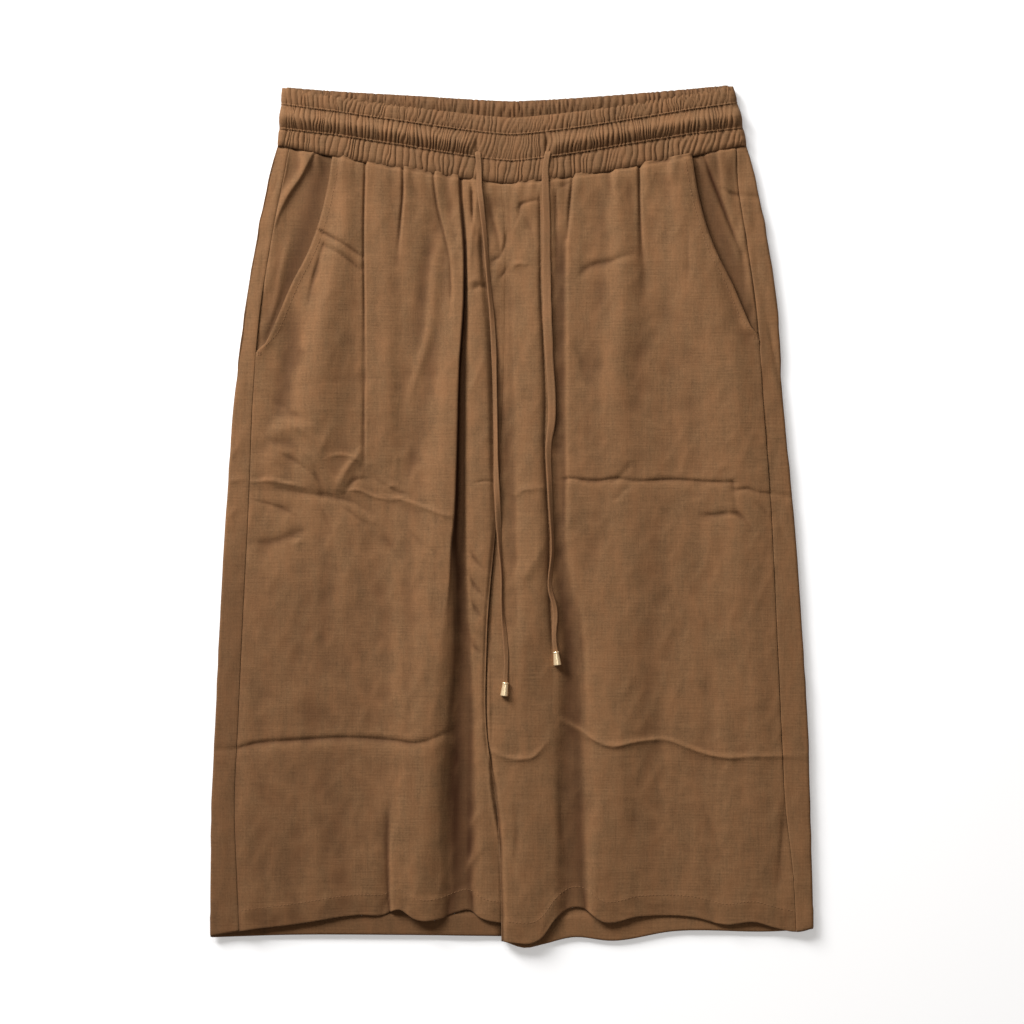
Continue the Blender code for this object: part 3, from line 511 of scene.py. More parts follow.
# %% Creases, in the garment's own sizes
# Each has its half widths to the left and right as it is walked, then points: x, drop, rise.
CREASES = (
    # the pressed line across both legs, a third of the way up
    (2.2, 4.0, ((-254, 564, -0.5), (-238, 564, -0.8), (-219, 559, -1.1), (-182, 556, -1.2),
                (-140, 554, -1.0), (-102, 556, -1.2), (-80, 558, -1.1), (-57, 550, -0.5),
                (-38, 540, -0.2))),
    (2.6, 2.0, ((42, 539, 0.5), (57, 547, 1.0), (72, 557, 1.3), (85, 561, 1.3), (102, 558, 1.1),
                (131, 556, 0.9), (148, 562, 1.3), (165, 568, 1.4), (185, 571, 1.2),
                (202, 570, 0.9), (230, 570, 0.6), (252, 570, 0.4))),
    (2.6, 2.6, ((-16, 566, 0.6), (-8, 570, 0.7), (6, 572, 1.1), (18, 570, 0.9), (26, 562, 0.4),
                (34, 552, 0))),
    # the pressed line a little above the knee, on the right
    (1.5, 2.8, ((47, 334, -1.0), (74, 336, -1.1), (89, 334, -0.9), (102, 336, -0.8),
                (136, 335, -1.1), (155, 336, -0.9), (170, 337, -1.0), (187, 337, -0.9))),
    (1.8, 3.0, ((187, 337, -0.3), (189, 343, -0.9), (200, 343, -0.9), (210, 346, -0.6),
                (221, 347, -0.8), (238, 350, -0.9))),
    (2.6, 2.6, ((86, 337, -0.6), (98, 325, -0.7), (100, 318, 0))),
    (3.0, 2.4, ((84, 356, 0), (89, 351, -0.7), (98, 342, -0.5))),
    (2.0, 3.6, ((157, 365, 0), (168, 365, -1.0), (192, 365, -1.0), (204, 378, -0.7), (207, 383, 0))),
    (3.0, 3.0, ((187, 340, -0.3), (192, 364, -0.8), (198, 370, 0))),
    (3.0, 3.0, ((202, 348, 0), (216, 364, -0.7), (225, 374, 0))),
    (2.4, 3.4, ((222, 352, 0), (230, 381, -0.8), (241, 403, 0))),
    (2.6, 3.0, ((2, 350, 0), (6, 346, 0.8), (26, 342, 0.5))),
    (9.0, 6.0, ((4, 432, 0), (12, 416, 0.9), (26, 393, 0.8), (32, 380, 0))),
    (5.0, 5.0, ((36, 450, 0), (40, 480, 0.6), (36, 520, 0))),
    # the star of creases above the left knee
    (2.2, 3.2, ((-222, 337, 0.5), (-204, 336, 1.2), (-189, 339, 1.3), (-174, 342, 0.3))),
    (5.0, 4.0, ((-198, 343, -0.4), (-168, 348, -1.3), (-153, 350, -1.6), (-136, 354, -1.2),
                (-119, 364, -0.3))),
    (3.4, 5.0, ((-150, 346, 0.3), (-140, 326, 1.6), (-131, 314, 1.2), (-127, 306, 0))),
    (4.0, 3.6, ((-161, 347, -0.8), (-166, 330, -1.1), (-172, 316, 0))),
    (2.4, 2.4, ((-142, 347, -0.6), (-134, 336, -0.9), (-122, 334, -0.2))),
    (3.0, 3.0, ((-110, 343, 0), (-103, 341, 0.8), (-95, 340, 0))),
    (2.0, 2.4, ((-110, 348, 0.2), (-91, 353, 0.9), (-74, 359, 1.1), (-56, 366, 0.7))),
    (2.8, 2.8, ((-127, 361, 0), (-118, 371, 0.9), (-111, 379, 0))),
    (2.4, 3.2, ((-112, 380, 0), (-102, 392, -0.5), (-86, 412, 0))),
    (2.4, 2.4, ((-246, 337, 0.3), (-236, 336, 0.8), (-224, 334, 0.3))),
    (3.0, 3.0, ((-248, 382, -0.5), (-236, 381, -0.9), (-224, 380, -0.3))),
    (4.2, 5.0, ((-221, 389, -0.4), (-204, 388, -0.9), (-185, 381, -1.0), (-168, 375, 0))),
    (3.0, 3.4, ((-188, 392, 0), (-181, 388, 0.9), (-174, 384, 0))),
    (6.0, 6.0, ((-215, 359, 0), (-195, 359, -0.7), (-170, 360, 0))),
    (5.0, 6.0, ((-210, 296, 0), (-196, 293, 1.1), (-176, 291, 0.6), (-168, 290, 0))),
    (5.0, 6.0, ((-212, 302, 0), (-200, 303, -0.9), (-184, 304, 0))),
    (6.0, 4.0, ((-152, 283, 0), (-160, 305, 0.7), (-168, 318, 0))),
    (5.0, 5.0, ((-104, 300, 0), (-98, 318, 0.7), (-102, 335, 0))),
    (5.0, 4.0, ((-88, 296, 0), (-84, 318, -0.6), (-88, 338, 0))),
    (2.2, 2.6, ((-240, 318, 0), (-236, 312, 0.8), (-230, 302, 0))),
    (2.2, 2.6, ((-243, 370, 0), (-238, 364, 0.8), (-232, 358, 0))),
    (3.0, 3.0, ((-246, 440, 0), (-236, 430, 0.5), (-225, 421, 0))),
    (1.6, 2.0, ((-214, 262, 0), (-196, 272, -0.6), (-176, 284, -0.5), (-160, 290, 0))),
    (1.6, 1.6, ((-206, 284, 0), (-188, 287, 0.7), (-170, 300, 0.5), (-158, 310, 0))),
    (1.8, 2.0, ((-200, 312, 0), (-186, 318, -0.8), (-170, 330, -0.7), (-158, 342, 0))),
    (1.6, 2.0, ((-186, 300, 0), (-170, 316, 0.7), (-156, 332, 0.8), (-146, 346, 0))),
    (1.8, 1.6, ((-160, 318, 0), (-146, 314, 0.9), (-132, 318, 0.7), (-122, 328, 0))),
    (1.8, 2.0, ((-150, 352, 0), (-138, 362, -0.8), (-124, 372, -0.6), (-112, 376, 0))),
    (1.8, 1.6, ((-146, 346, 0), (-132, 344, 0.8), (-116, 350, 0.8), (-98, 352, 0.4), (-84, 346, 0))),
    (1.6, 1.8, ((-226, 352, 0), (-206, 356, -0.6), (-190, 362, -0.6), (-176, 372, 0))),
    (1.6, 1.6, ((-120, 330, 0), (-108, 340, -0.7), (-96, 346, -0.5), (-80, 348, 0))),
    (1.6, 1.6, ((-176, 346, 0), (-164, 356, -0.6), (-156, 372, -0.4), (-152, 384, 0))),
    (1.6, 2.0, ((-238, 296, 0), (-228, 288, -0.7), (-221, 284, 0))),
    (1.4, 1.8, ((-92, 372, 0), (-78, 388, -0.5), (-66, 396, -0.4), (-58, 410, 0))),
    # faint pressed lines across the left thigh
    (1.4, 1.6, ((-222, 275, 0), (-180, 276, 0.3), (-140, 276, 0.25), (-100, 278, 0.25), (-63, 279, 0))),
    (1.8, 1.8, ((-196, 260, 0), (-158, 252, -0.25), (-102, 248, -0.25), (-56, 244, 0))),
    # below the left pocket
    (1.4, 1.6, ((-166, 122, 0), (-161, 125, -1.2), (-147, 133, -1.3), (-127, 146, -0.9))),
    (1.4, 1.8, ((-163, 134, -0.3), (-144, 145, -1.2), (-128, 157, -0.9))),
    (2.0, 2.0, ((-162, 129, 0), (-146, 139, 0.5), (-128, 151, 0.4))),
    (2.6, 1.6, ((-160, 136, -0.6), (-168, 163, -1.3), (-176, 197, 0))),
    # below the waistband
    (4.0, 4.0, ((83, 66, -1.8), (84, 84, -1.0), (85, 96, 0))),
    (4.0, 4.0, ((148, 118, 0), (149, 145, -0.6), (149, 180, 0))),
    (3.0, 3.4, ((54, 166, 0), (63, 156, -1.0), (83, 150, -1.2), (102, 144, -0.5))),
    (1.3, 2.0, ((5, 106, -0.3), (8, 101.5, -0.8), (14, 99.5, -0.8), (22, 98, -0.5))),
    (1.4, 2.0, ((7.5, 102, -0.6), (5.5, 112, -0.6), (2, 121, 0))),
    (1.3, 1.8, ((-13, 150, 0), (-8, 141, -1.0), (-5.5, 132, -0.7), (-5.5, 124, 0))),
    (1.3, 2.0, ((-12, 166, 0), (-7, 160, -0.9), (-5, 156, -0.3))),
    (1.4, 1.8, ((-20, 152, 0), (-14, 148, -0.8), (-9, 146, 0))),
    (1.6, 2.0, ((-2, 157, 0), (6, 152, 0.7), (12, 152.5, 0.4), (16, 150, 0))),
    (4.0, 3.0, ((49, 208, 0), (57, 231, -0.5), (64, 257, 0))),
    (3.0, 3.0, ((38, 90, 0), (43, 86, -0.9), (52, 82, 0))),
    # inside the hollow on the right front
    (2.6, 3.6, ((43, 575, 0), (42, 631, -0.4), (50, 672, 0))),
    # soft hollows of the right leg
    (5.0, 7.0, ((106, 600, 0), (103, 625, -0.6), (101, 660, 0))),
    (7.0, 5.0, ((156, 596, 0), (170, 634, -0.6), (183, 675, 0))),
    (8.0, 3.0, ((232, 600, 0), (230, 630, -1.1), (227, 662, -0.8), (224, 690, 0))),
    # right wrap and facing
    (2.6, 2.6, ((232, 606, 0), (244, 613, 0.9), (254, 626, 0))),
    (2.6, 2.6, ((234, 670, 0), (243, 676, 0.9), (253, 686, 0))),
    (3.0, 2.0, ((238, 640, 0), (246, 650, 0.8), (252, 664, 0))),
    (1.6, 2.2, ((214, 198, 0), (218, 206, -1.2), (222, 226, -1.4), (228, 252, -0.9), (231, 272, 0))),
    (1.6, 2.0, ((202, 212, -0.4), (210, 214, -1.0), (218, 213, 0))),
    (1.8, 1.8, ((192, 200, 0), (200, 206, 0.8), (208, 210, 0.4))),
    (2.0, 2.4, ((176, 86, 0), (185, 92, -0.9), (193, 94, -0.8), (212, 96, -0.9))),
    (1.8, 2.4, ((162, 58, -1.0), (170, 80, -1.4), (178, 100, -1.8), (188, 126, -1.4), (198, 152, 0))),
    (3.5, 3.5, ((206, 128, 0), (214, 136, 0.7), (220, 150, 0))),
    (3.5, 3.5, ((208, 158, 0), (216, 168, 0.7), (222, 184, 0))),
    # left wrap
    (3.0, 3.0, ((-214, 120, 0), (-212, 150, -0.9), (-218, 190, 0))),
    (2.4, 2.4, ((-196, 66, 0), (-200, 84, -0.9), (-208, 104, 0))),
    # the left leg's lower folds
    (2.0, 9.0, ((-104, 606, 0), (-105, 640, -2.2), (-104, 706, -3.4))),
    (3.0, 4.0, ((-38, 540, 0), (-46, 580, 0.5), (-51, 622, 0.4), (-51, 672, 0.5), (-50, 700, 0.6))),
    (3.4, 3.0, ((-43, 672, 0), (-35, 660, 0.9), (-24, 646, 0.4))),
    (3.0, 3.0, ((-40, 636, 0), (-30, 622, 0.7), (-22, 612, 0))),
    (1.6, 2.0, ((-34, 680, 0), (-34, 690, -0.9), (-34, 704, -0.9))),
    (1.6, 2.2, ((-38, 392, 0), (-31, 403, -1.6), (-22, 413, -0.4))),
    (1.4, 2.2, ((-37.5, 410, 0), (-32, 424, -1.8), (-22, 436, -0.5))),
    (1.6, 2.2, ((-36, 432, 0), (-31, 444, -1.6), (-21, 457, -0.3))),
    (2.0, 2.6, ((-38, 448, 0), (-29, 462, 0.9), (-21, 470, 0))),
    (1.6, 2.2, ((-35, 468, 0), (-30, 479, -1.3), (-21, 484, 0))),
    (1.3, 1.5, ((-34, 339, 0), (-27, 337, -0.7), (-16, 337, -0.3))),
    (1.6, 2.0, ((-37, 168, 0.4), (-31, 166, 0.9), (-25, 168, 0.3))),
    (1.2, 1.6, ((-37, 174, -0.2), (-30, 172, -0.6), (-21, 171, -0.4))),
    (2.6, 2.6, ((-36, 178, 0), (-30, 172, -0.9), (-20, 170, 0))),
    (1.2, 1.3, ((-27.0, 122, 0), (-26.6, 130, -1.4), (-25.6, 150, -1.6), (-23.6, 172, -0.7),
                (-20.6, 200, -0.1), (-18.2, 222, -0.9), (-17.4, 267, -1.2), (-16.8, 307, -1.2),
                (-16.2, 340, -0.6), (-15, 370, 0))),
    (1.3, 1.5, ((23.2, 88, 0), (23.6, 105, -1.1), (24.0, 137, -0.8), (24.2, 172, -1.3),
                (26.6, 222, -1.3), (28.2, 267, -1.0), (27.6, 307, -1.1), (29.2, 345, -1.1),
                (31.2, 380, -1.2), (31.4, 420, -1.3), (33.0, 460, -1.2), (34, 486, 0))),
    (1.7, 1.2, ((-34.8, 84, -0.8), (-34.2, 92, -2.4), (-33.6, 108, -2.6), (-32.6, 124, 0))),
    (1.2, 1.4, ((36, 84, -0.6), (36.8, 96, -1.3), (37.2, 112, -1.4), (38, 135, -0.6), (38, 165, 0))),
    (1.6, 1.2, ((51.8, 76, -1.0), (50.0, 92, -2.0), (48.6, 108, -2.0), (47.0, 130, -0.6))),
    (2.0, 2.0, ((-36, 160, 0), (-34, 130, 0.9), (-31, 105, 1.1), (-29, 86, 0.4))),
    (2.0, 2.4, ((-20, 88, 0), (-17, 112, -0.8), (-10, 140, -0.7), (-14, 162, 0))),
    (2.4, 2.4, ((-12, 108, 0), (-8, 132, 0.7), (-13, 158, 0.5), (-16, 176, 0))),
    (3.0, 3.0, ((0, 96, 0), (5, 112, 0.7), (2, 128, 0))),
    (3.0, 4.0, ((8, 110, 0), (16, 122, -0.7), (20, 140, 0))),
    (3.0, 3.0, ((-4, 156, 0), (4, 152, 0.6), (14, 153, 0))),
    (4.0, 4.0, ((-4, 236, 0), (6, 252, 0.5), (14, 286, 0))),
    (3.0, 3.0, ((-38, 268, 0), (-33, 255, 0.7), (-25, 236, 0.5), (-22, 226, 0))),
    (3.0, 3.0, ((-37, 300, 0), (-32, 318, 0.6), (-27, 330, 0))),
    # the welt of the inner leg
    (1.4, 1.4, ((-20.4, 420, 0), (-20.4, 460, 0.6), (-19.6, 540, 0.9), (-18.4, 600, 0.9),
                (-12.6, 634, 0.9), (-7.6, 676, 0.7), (-6.6, 700, 0))),
    (0.9, 0.9, ((-18.0, 420, 0), (-18.0, 460, -0.5), (-17.2, 540, -0.5), (-16.0, 600, -0.5),
                (-10.2, 634, -0.5), (-5.2, 676, 0))),
    # the lobe at the right leg's inner hem
    (4.0, 4.0, ((-4, 640, 0), (6, 668, 0.9), (20, 690, 0.5), (34, 698, 0))),
    (4.0, 3.0, ((2, 600, 0), (4, 640, -0.8), (0, 680, 0))))


CREASE_RISE = 1.5        # millimetres for each 1 in the table
CREASE_POWER = 1.35      # 2 would make a round crest, and 1 a ridge like a roof's
CREASE_REACH = 3.2       # half widths beyond which too little is left to count


def creases(x, drop):
    """Sum of the creases. Each is sampled along its curve, every point of the cloth looks up the
    nearest sample, and the rise there falls away with the distance in half widths."""
    x, drop = np.broadcast_arrays(np.asarray(x, float), np.asarray(drop, float))
    flat_x, flat_drop = x.ravel(), drop.ravel()
    total = np.zeros(flat_x.shape)
    for left_half, right_half, points in CREASES:
        xs, drops, rises = np.array(points, float).T
        reached = distances(xs, drops)
        at = np.linspace(0, reached[-1], max(8, int(reached[-1] / 1.5)))
        line_x, line_drop = smooth(at, reached, xs), smooth(at, reached, drops)
        rise = np.interp(at, reached, rises)
        way_x, way_drop = np.gradient(line_x), np.gradient(line_drop)
        size = np.hypot(way_x, way_drop)
        margin = CREASE_REACH * max(left_half, right_half)
        near = np.flatnonzero(
            (flat_x > line_x.min() - margin) & (flat_x < line_x.max() + margin)
            & (flat_drop > line_drop.min() - margin) & (flat_drop < line_drop.max() + margin))
        if not len(near):
            continue
        dx = flat_x[near, None] - line_x
        dd = flat_drop[near, None] - line_drop
        closest = np.argmin(dx * dx + dd * dd, axis=1)
        row = np.arange(len(near))
        dx, dd = dx[row, closest], dd[row, closest]
        turn = (way_x[closest] * dd - way_drop[closest] * dx) / size[closest]
        half = np.where(turn < 0, left_half, right_half)
        total[near] += rise[closest] * np.exp(-(np.hypot(dx, dd) / half) ** CREASE_POWER)
    return CREASE_RISE * total.reshape(x.shape)


# Uneven softness of the cloth, from long streaks down the legs to small dents. Rows: height in
# millimetres, cell across and along, seed.
UNEVENNESS = ((0.8, (26, 140), 11), (0.4, (13, 60), 12), (0.35, (34, 30), 13), (0.16, (9, 13), 14),
              (0.06, (4.5, 6), 15))


def rumple(x, drop):
    """The cloth's unevenness, with fine sharp lines where a slanted noise crosses nought."""
    slant, fall = x + 0.5 * drop, drop - 0.5 * x
    crumple = (0.5 - np.abs(noise(slant, fall, (15, 22), 16))) + 0.5 * (
        0.5 - np.abs(noise(fall, slant, (9, 12), 17)))
    total = 0.42 * crumple
    for height, cell, seed in UNEVENNESS:
        total = total + height * noise(x + 300, drop, cell, seed)
    return total


def gathers(x, drop):
    """Short irregular folds that fan down from the waistband's seam and fade within 45 mm, on a low
    swell that starts right below it."""
    below = drop - band_edge("bottom", x)
    wander = x + 2.5 * noise(x, drop, (20, 25), 21)
    fine = noise(wander, drop * 0, (5.5, 1000), 22) * bell(below / 16)
    broad = noise(wander, drop * 0, (13, 1000), 23) * bell(below / 38)
    return 0.9 * fine + 1.2 * broad + 1.0 * bell((below - 7) / 10)


print(len(CREASES), "creases")

# %% [markdown]
# ## From points to walls of cloth
#
# A sheet of cloth has two faces and an edge, and a renderer or a printer needs all of them. `wall`
# takes a grid of middle points, moves half the thickness out along each normal and half in, and
# closes the border between the two. The hidden face uses every second point, so that the shown face
# can have the finer creases, and faces with five corners join the two along the border. The
# thickness may change from point to point, which makes a turned-up hem stand proud.

# %% Mesh helpers
def add_mesh(name, points, faces, uv, material, dye_and_painted_shade=None):
    """Object from points in metres and arrays of faces of any number of corners, with a UV for
    each point and, on cloth, how much painted shade it has for lying deep in a fold."""
    mesh = bpy.data.meshes.new(name)
    mesh.vertices.add(len(points))
    mesh.vertices.foreach_set("co", np.asarray(points, np.float32).ravel())
    corners = np.concatenate([part.ravel() for part in faces]).astype(np.int32)
    sizes = np.concatenate([np.full(len(part), part.shape[1]) for part in faces])
    mesh.loops.add(len(corners))
    mesh.loops.foreach_set("vertex_index", corners)
    mesh.polygons.add(len(sizes))
    mesh.polygons.foreach_set("loop_start", (np.cumsum(sizes) - sizes).astype(np.int32))
    mesh.update(calc_edges=True)
    layer = mesh.uv_layers.new(name="UVMap")
    layer.data.foreach_set("uv", np.asarray(uv, np.float32)[corners].ravel())
    if dye_and_painted_shade is not None:
        mesh.attributes.new("dye_and_painted_shade", "FLOAT", "POINT").data.foreach_set(
            "value", np.asarray(dye_and_painted_shade, np.float32).ravel())
    mesh.validate()
    mesh.shade_smooth()
    mesh.materials.append(material)
    made = bpy.data.objects.new(name, mesh)
    bpy.context.scene.collection.objects.link(made)
    return made


def grid_quads(rows, columns, ring=False):
    """Quads of a grid numbered row by row. A ring's last column joins its first."""
    number = np.arange(rows * columns).reshape(rows, columns)
    right = np.roll(number, -1, axis=1) if ring else number[:, 1:]
    left = number if ring else number[:, :-1]
    return np.stack((left[:-1], right[:-1], right[1:], left[1:]), axis=-1).reshape(-1, 4)


def tube_quads(rows, columns):
    """Quads of a closed tube numbered ring by ring: its side, and a cap over each end."""
    k = np.arange(columns // 2 - 1)
    cap = np.stack((k, k + 1, columns - 2 - k, columns - 1 - k), axis=-1)
    return np.concatenate((grid_quads(rows, columns, ring=True), cap[:, ::-1],
                           cap + (rows - 1) * columns))


def borders(rows, columns, ring):
    """The border of a grid as loops of point numbers: one round a sheet, two round a ring."""
    number = np.arange(rows * columns).reshape(rows, columns)
    if ring:
        return [number[0], number[-1][::-1]]
    return [np.concatenate((number[0, :-1], number[:-1, -1], number[-1, :0:-1], number[:0:-1, 0]))]


def volume(points, faces):
    """Volume inside closed faces: the sum of the tetrahedra from the origin to a fan of each."""
    total = 0.0
    for part in faces:
        for k in range(1, part.shape[1] - 1):
            a, b, c = (points[part[:, corner]] for corner in (0, k, k + 1))
            total += np.einsum("ij,ij->", a, np.cross(b, c)) / 6
    return total


def shell(name, outer, inner, uv, material, dye_and_painted_shade, ring=False):
    """Closed wall between two grids, the inner one at half the detail. A sheet has an odd number
    of rows and columns, and a ring an even number of columns, joined end to end."""
    rows, columns = outer.shape[:2]
    coarse = inner[::2, ::2]
    points = np.concatenate((outer.reshape(-1, 3), coarse.reshape(-1, 3)))
    first = rows * columns
    faces = [grid_quads(rows, columns, ring),
             grid_quads(*coarse.shape[:2], ring)[:, ::-1] + first]
    joins = []
    for fine, rough in zip(borders(rows, columns, ring), borders(*coarse.shape[:2], ring)):
        if ring and fine[0] != 0:
            fine = np.roll(fine, -1)      # start where the rough loop's first point lies
        joins.append(np.stack((np.roll(fine, -2)[::2], fine[1::2], fine[::2], rough + first,
                               np.roll(rough, -1) + first), axis=-1))
    faces.append(np.concatenate(joins))
    if volume(points, faces) < 0:
        faces = [part[:, ::-1] for part in faces]
    uv = np.concatenate((uv.reshape(-1, 2), uv[::2, ::2].reshape(-1, 2)))
    dye_and_painted_shade = np.concatenate((dye_and_painted_shade.ravel(), dye_and_painted_shade[::2, ::2].ravel()))
    return add_mesh(name, points, faces, uv, material, dye_and_painted_shade)


def wall(name, middle, thickness, uv, material, dye_and_painted_shade):
    """Wall of cloth about a grid of middle points in metres, its thickness in millimetres."""
    normal = np.cross(np.gradient(middle, axis=0), np.gradient(middle, axis=1))
    normal /= np.linalg.norm(normal, axis=-1, keepdims=True)
    half = np.asarray(thickness)[..., None] * (MM / 2)
    if normal[..., 2].sum() < 0:
        normal = -normal
    return shell(name, middle + normal * half, middle - normal * half, uv, material, dye_and_painted_shade)


CROWDING = 0.6           # 0 would space a grid's columns evenly
# Where the rows lie closer together: how much closer, drop of the middle and half width.
FINE_ROWS = ((2.0, 344, 32), (2.2, 562, 14), (1.4, 120, 34), (0.9, 72, 24), (1.8, 712, 12))


def crowd(count):
    """Shares from 0 to just short of 1, closer together at both ends."""
    t = np.arange(count) / count
    return t * (1 - CROWDING) + CROWDING * ease(t)


def rows_down(count):
    """Shares of the way from the waistband to the hem, closer together where creases are fine."""
    t = np.linspace(0, 1, 1200)
    drop = 70 + 640 * t
    density = 0.8 + sum(more * bell((drop - middle) / half) for more, middle, half in FINE_ROWS)
    reached = np.concatenate(((0,), np.cumsum((density[1:] + density[:-1]) / 2)))
    return np.interp(np.linspace(0, reached[-1], count), reached, t)


def fill_down(rows, count, x_at, bottom_at):
    """x and drop of each point of a grid that runs from beneath the waistband to a hem. x depends
    on the drop and the ends of each column on x, so they are worked out in turn until they agree."""
    drops = np.repeat(rows[:, None] * LENGTH, count, axis=1)
    for _ in range(6):
        x = x_at(drops)
        top = band_edge("bottom", x[:1]) - TUCK
        drops = top + rows[:, None] * (bottom_at(x)[-1:] - top)
    return x, drops


def hem_wall(drop, hem_drop):
    """Thickness of the cloth: doubled over at the hem, and rounded off at its very edge."""
    turned = ease((drop - hem_drop + HEM_DEPTH + 1.0) / 2.0)
    edge = 1 - 0.45 * ease((drop - hem_drop + 1.2) / 1.2)
    return (CLOTH + (HEM_CLOTH - CLOTH) * turned) * edge


print(len(rows_down(300)), "rows, from", rows_down(300)[:3].round(4))

# %% [markdown]
# ## The cloth
#
# The cloth is a plain weave of linen and viscose: matt, with a little bloom at grazing angles, and
# uneven yarns that show as short thick places along and across the leg. Two stretched noises make
# those yarns and a third their fuzz, two waves make the weave between them, and three larger noises
# vary the dye. All of it reads the piece's own UV map, which is its grain in metres, so the weave
# follows the cloth. A value on each point adds painted shade, darker and redder, where the cloth
# lies in folds, creases and hollows.

# %% Cloth material
# Rows: scale across and along the grain, octaves, how much the small ones count, share in the tone.
DYE_NOISES = ((14, 5, 4, 0.6, 0.5), (80, 26, 4, 0.7, 0.35), (190, 9, 3, 0.6, 0.3))
YARN_NOISES = ((700, 50, 2, 0.6, 0.45), (36, 760, 2, 0.6, 0.7), (520, 520, 4, 0.8, 1.3))
TONE_MIDDLE = 1.30                # taken off the sum of the noises
WARM = (1.02, 0.84, 0.76)         # the light colour is changed by this in the warmer places
PAINTED_SHADE_TINT = (0.34, 0.20, 0.10)         # and the dark one by this for the painted shade deep in the folds
CLOTH_FINISH = {"Roughness": 0.78, "Specular IOR Level": 0.12, "Sheen Weight": 0.05,
                "Sheen Roughness": 0.45, "Sheen Tint": (1.0, 0.86, 0.72, 1)}
WEAVE = {"Scale": 0.5, "Distortion": 0.6, "Detail Scale": 0.4}
RELIEF = {"Strength": 0.35, "Distance": 0.0004}     # the second is the yarns' height in metres


def cloth_material(name, light, dark, yarn=1.0):
    """Woven cloth from two colours and the size of its yarns."""
    made = bpy.data.materials.new(name)
    made.use_nodes = True
    tree = made.node_tree
    nodes, link = tree.nodes, tree.links.new
    shader = nodes["Principled BSDF"]
    set_inputs(shader, CLOTH_FINISH)
    coords = nodes.new("ShaderNodeTexCoord")

    def mapped(across, along_it, texture):
        mapping = nodes.new("ShaderNodeMapping")
        mapping.inputs["Scale"].default_value = (across, along_it, 1)
        link(coords.outputs["UV"], mapping.inputs["Vector"])
        link(mapping.outputs["Vector"], texture.inputs["Vector"])

    def stretched(across, along_it, detail, rough):
        texture = nodes.new("ShaderNodeTexNoise")
        mapped(across, along_it, texture)
        set_inputs(texture, {"Scale": 1.0, "Detail": detail, "Roughness": rough})
        return texture.outputs["Fac"]

    def maths(operation, a, b):
        node = nodes.new("ShaderNodeMath")
        node.operation = operation
        for socket, value in zip(node.inputs, (a, b)):
            if isinstance(value, (int, float)):
                socket.default_value = value
            else:
                link(value, socket)
        return node.outputs[0]

    rows = [(row, 1.0) for row in DYE_NOISES] + [(row, yarn) for row in YARN_NOISES]
    parts = [stretched(row[0] / size, row[1] / size, *row[2:4]) for row, size in rows]
    dye_and_painted_shade = maths("MULTIPLY", parts[0], rows[0][0][-1])
    for part, (row, _) in zip(parts[1:], rows[1:]):
        dye_and_painted_shade = maths("ADD", dye_and_painted_shade, maths("MULTIPLY", part, row[-1]))
    dye_and_painted_shade = maths("SUBTRACT", dye_and_painted_shade, TONE_MIDDLE)
    _, blotch, _, warp, weft, _ = parts

    def mixed(factor, first, second):
        mix = nodes.new("ShaderNodeMix")
        mix.data_type = "RGBA"
        for socket, value in (("Factor", factor), ("A", first), ("B", second)):
            if isinstance(value, tuple):
                mix.inputs[socket].default_value = (*value, 1)
            else:
                link(value, mix.inputs[socket])
        return mix.outputs["Result"]

    # Warmer dye in some places, and painted shade deep in the folds: a darker, redder colour where the
    # cloth lies in shadow.
    woven = mixed(dye_and_painted_shade, dark, light)
    warm = mixed(maths("MULTIPLY", maths("SUBTRACT", blotch, 0.38), 1.3), woven,
                 tuple(np.array(light) * WARM))
    depth = nodes.new("ShaderNodeAttribute")
    depth.attribute_name = "dye_and_painted_shade"
    link(mixed(depth.outputs["Fac"], warm, tuple(np.array(dark) * PAINTED_SHADE_TINT)),
         shader.inputs["Base Color"])

    waves = []
    for direction in ("X", "Y"):
        wave = nodes.new("ShaderNodeTexWave")
        wave.bands_direction = direction
        mapped(1000 / yarn, 1000 / yarn, wave)
        set_inputs(wave, WEAVE)
        waves.append(wave.outputs["Fac"])
    height = maths("ADD", maths("MULTIPLY", maths("MULTIPLY", *waves), 0.35), maths("ADD", warp, weft))
    relief = nodes.new("ShaderNodeBump")
    set_inputs(relief, RELIEF)
    link(height, relief.inputs["Height"])
    link(relief.outputs["Normal"], shader.inputs["Normal"])
    return made


panel_cloth = cloth_material("panel_cloth", (0.201, 0.1045, 0.0460), (0.090, 0.0458, 0.0197))
band_cloth = cloth_material("band_cloth", (0.186, 0.0965, 0.0427), (0.084, 0.0427, 0.0187), yarn=0.9)
print("cloth for panels and waistband")

# %% [markdown]
# ## The two fronts
#
# A front hangs from the waistband with more cloth than the band is wide, and the spare is laid in
# pleats that open into rolls further down. The deepest of them stays open over the whole left leg.
# Columns of the grid follow the pleats and crowd beside them, because a straight grid would cut
# across a sharp fold and leave it stepped.

